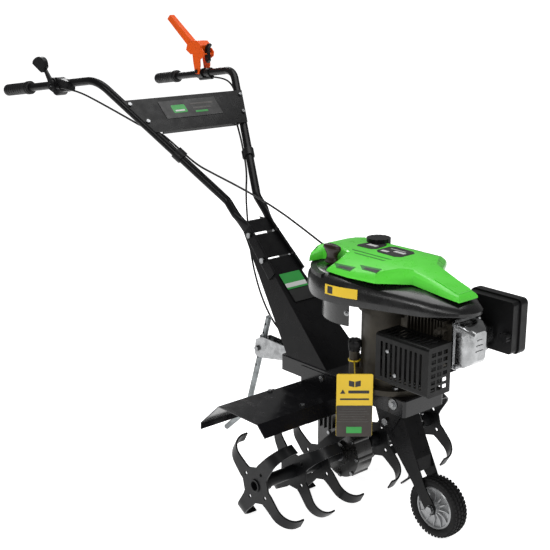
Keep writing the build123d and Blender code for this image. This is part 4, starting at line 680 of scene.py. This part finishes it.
sticker_at = at(-598, -3, 871)
panel_u = Vector((0, 1, 0))
label("panel_sticker", sticker_at, panel_u, PANEL_UP, 182, 58, ink_and_painted_shade, 0.6, slot="black_plastic")
label("panel_block", sticker_at, panel_u, PANEL_UP, 44, 26, print_green, 0.9, -38, 0, 4.0, "black_plastic")
label("panel_stripe", sticker_at, panel_u, PANEL_UP, 30, 5, print_white, 1.15, -38, -6, 1.5, "black_plastic")
PANEL_BARS = [(74, 40, 12, print_grey), (58, 34, -2, print_grey), (40, 28, -14, print_green)]
for index, (width, cx, cy, ink) in enumerate(PANEL_BARS):
    label(f"panel_bar_{index}", sticker_at, panel_u, PANEL_UP, width, 6, ink, 0.9, cx, cy, 1.0,
          "black_plastic")

web = (Vector(at(-340, 0, 615)) - Vector(at(-12, 0, 320))).normalized()
web_at = at(-176, 0, 467.5)
web_u = Vector((0, 1, 0))
COLUMN_LABELS = [("column_label_green", 46, 30, 2.4, print_green),
                 ("column_label_white", 12, 18, 2.7, print_white),
                 ("column_label_black", 34, -12, 2.4, ink_and_painted_shade)]
for name, size, cy, lift, ink in COLUMN_LABELS:
    label(name, web_at, web_u, web, 66, size, ink, lift, 0, cy, 2.0)

# ---------------------------------------------------------------- hang tag
tag_u = Vector((0.655, 0.755, 0))
tag_at = at(139, -120.5, 297)
label("tag_yellow", tag_at, tag_u, (0, 0, 1), 79, 73, print_yellow, 0.85, 0, 37, 3.0)
label("tag_black", tag_at, tag_u, (0, 0, 1), 79, 74, print_brown, 0.85, 0, -37, 3.0)
slab("tag_book_left", [(-13, 46), (-1, 43), (-1, 56), (-13, 59)], tag_at, tag_u, (0, 0, 1), 0.2, "card",
     material=ink_and_painted_shade, lift=1.1)
slab("tag_book_right", [(13, 46), (1, 43), (1, 56), (13, 59)][::-1], tag_at, tag_u, (0, 0, 1), 0.2, "card",
     material=ink_and_painted_shade, lift=1.1)
slab("tag_triangle", [(-32, 28), (-20, 28), (-26, 38)], tag_at, tag_u, (0, 0, 1), 0.2, "card",
     material=ink_and_painted_shade, lift=1.1)
for index, (width, height, cx, cy, ink) in enumerate(
        [(46, 7, 9, 32, ink_and_painted_shade), (64, 4, 0, 15, ink_and_painted_shade)]
        + [(52 + 9 * (k % 3), 1.6, -2 - (k % 2), -8 - 6 * k, print_grey) for k in range(6)]
        + [(34, 15, 0, -58, print_green)]):
    label(f"tag_bar_{index}", tag_at, tag_u, (0, 0, 1), width, height, ink, 1.1, cx, cy, min(height, 3) / 2.2)


# ---------------------------------------------------------------- shroud label and screws
def shroud_side(x):
    """Where the shroud's right wall stands, at a distance in front of the axle."""
    wall = [p for p in shroud_line(-0.2, 720) if p[1] < 0]
    for (x0, y0), (x1, y1) in zip(wall, wall[1:]):
        if x0 <= x <= x1 and x1 > x0:
            return y0 + (y1 - y0) * (x - x0) / (x1 - x0)
    return wall[0][1]


rows = [(x, shroud_side(x)) for x in (72, 80, 94, 108, 122, 137, 152)]
SHROUD_LABELS = [("shroud_label", 545, 567, 0.0, print_yellow, rows),
                 ("shroud_label_mark", 548, 564, 0.4, ink_and_painted_shade, rows[1:3])]
for name, z0, z1, out, ink, keep in SHROUD_LABELS:
    bm = bmesh.new()
    columns = []
    for x, y in keep:
        spots = [(x, y - out - grow + 0.2 * (z - z0) / 10, z) for z in (z0, z1) for grow in (0.0, 0.5)]
        columns.append([bm.verts.new(at(*spot)) for spot in spots])
    for (a, b, c, d), (e, f, g, h) in zip(columns, columns[1:]):
        for quad in ((a, e, g, c), (b, d, h, f), (a, b, f, e), (c, g, h, d)):
            bm.faces.new(quad)
    bm.faces.new((columns[0][0], columns[0][2], columns[0][3], columns[0][1]))
    bm.faces.new((columns[-1][0], columns[-1][1], columns[-1][3], columns[-1][2]))
    place(name, finished(bm, name), "card", material=ink, smooth=False)
for index, (x, z) in enumerate([(240, 452), (262, 404)]):
    revolved(f"guard_screw_{index}", [(0.2, 0), (4.2, 0), (4.4, 1.4), (3.2, 2.6), (0.2, 3.0)],
             at(x, -127.4, z), (0, -1, 0), "zinc", steps=20)
angle = radians(284)
skirt_out = Vector((cos(angle), sin(angle), 0))
revolved("skirt_screw", [(0.2, 0), (6.5, 0), (6.5, 1.4), (3.4, 2.0), (3.0, 5.0), (0.2, 5.4)],
         at(75 + 117.2 * cos(angle), 117.2 * sin(angle), 500), skirt_out, "zinc", steps=24)

# ---------------------------------------------------------------- dipstick knob and starter handle
DIP_X, DIP_Y = 82, -66
ROUND = [2 * pi * k / 40 for k in range(40)]
bm = bmesh.new()
rings = []
for z, r, lobes in ((398.6, 12.0, 0.0), (403, 13.6, 0.3), (408, 15.4, 1.5), (416, 16.0, 2.4),
                    (421, 14.8, 2.2), (423.8, 11.0, 1.0)):
    rings.append([(DIP_X + (r + lobes * cos(4 * a)) * cos(a),
                   DIP_Y + (r + lobes * cos(4 * a)) * sin(a), z) for a in ROUND])
capped(bm, rings)
sharpen(place("dipstick_knob", finished(bm, "dipstick_knob"), "black_plastic", "dipstick"), 40)

bm = bmesh.new()
rings = []
PULL = [(590.2, 11, 9), (594, 13, 10.5), (600, 10, 8), (608, 9, 8), (616, 12, 9), (624, 16, 10), (630, 15, 9),
        (633.5, 9, 5)]
for z, rx, ry in PULL:
    rings.append([(20 + 1.7 * rx * cos(a), -80 + ry * sin(a), z) for a in ROUND])
capped(bm, rings)
grip = place("starter_grip", finished(bm, "starter_grip"), "brown_plastic", "recoil_handle")
sharpen(grip, 60)
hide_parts("recoil_handle")

# ---------------------------------------------------------------- rocker cover
bm = bmesh.new()
ROCKER = [(338, 41, 416, 524), (343, 41, 416, 524), (344, 36, 422, 519), (362, 34, 424, 517),
          (374, 28, 432, 510), (380, 20, 440, 502)]
rings = []
for x, half, z0, z1 in ROCKER:
    outline = rounded(2 * half, z1 - z0, 9, 4, 0, (z0 + z1) / 2)
    rings.append([(x, y, z) for y, z in outline])
capped(bm, rings)
rocker = place("rocker_shell", finished(bm, "rocker_shell"), "bright_aluminium")
sharpen(rocker, 24)
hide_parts("rocker_cover")
for index, (y, z) in enumerate([(-33, 424), (-33, 516), (33, 424), (33, 516)]):
    revolved(f"rocker_screw_{index}", [(0.2, 0), (5.5, 0), (5.5, 5.0), (4.6, 6.0), (0.2, 6.0)],
             at(343.5, y, z), (1, 0, 0), "zinc", steps=6)
for index in range(3):
    slab(f"rocker_rib_{index}", rounded(24 - 4 * index, 3, 1.2, 2, 0, -10 + 12 * index), at(380, 0, 470),
         (0, 1, 0), (0, 0, 1), 1.6, "bright_aluminium")


# ---------------------------------------------------------------- throttle housing shell
shell_at = at(-860, -236, 922)
outline = [(24 * cos(radians(a)), 24 * sin(radians(a))) for a in range(60, 331, 15)]
outline += [(30, -13), (56, -7), (58, 17), (24, 21)]
slab("throttle_shell_outer", outline, shell_at, (1, 0, 0), (0, 0, 1), 14, "black_plastic", bevel=3.0)
slab("throttle_shell_inner", [(x, -y) for x, y in outline], shell_at, (1, 0, 0), (0, 0, -1), 13,
     "black_plastic", bevel=3.0)
revolved("throttle_pivot_screw", [(0.2, 0), (5.0, 0), (5.2, 1.4), (3.8, 2.6), (0.2, 3.0)],
         at(-868, -257, 926), (0, -1, 0), "zinc", steps=20)
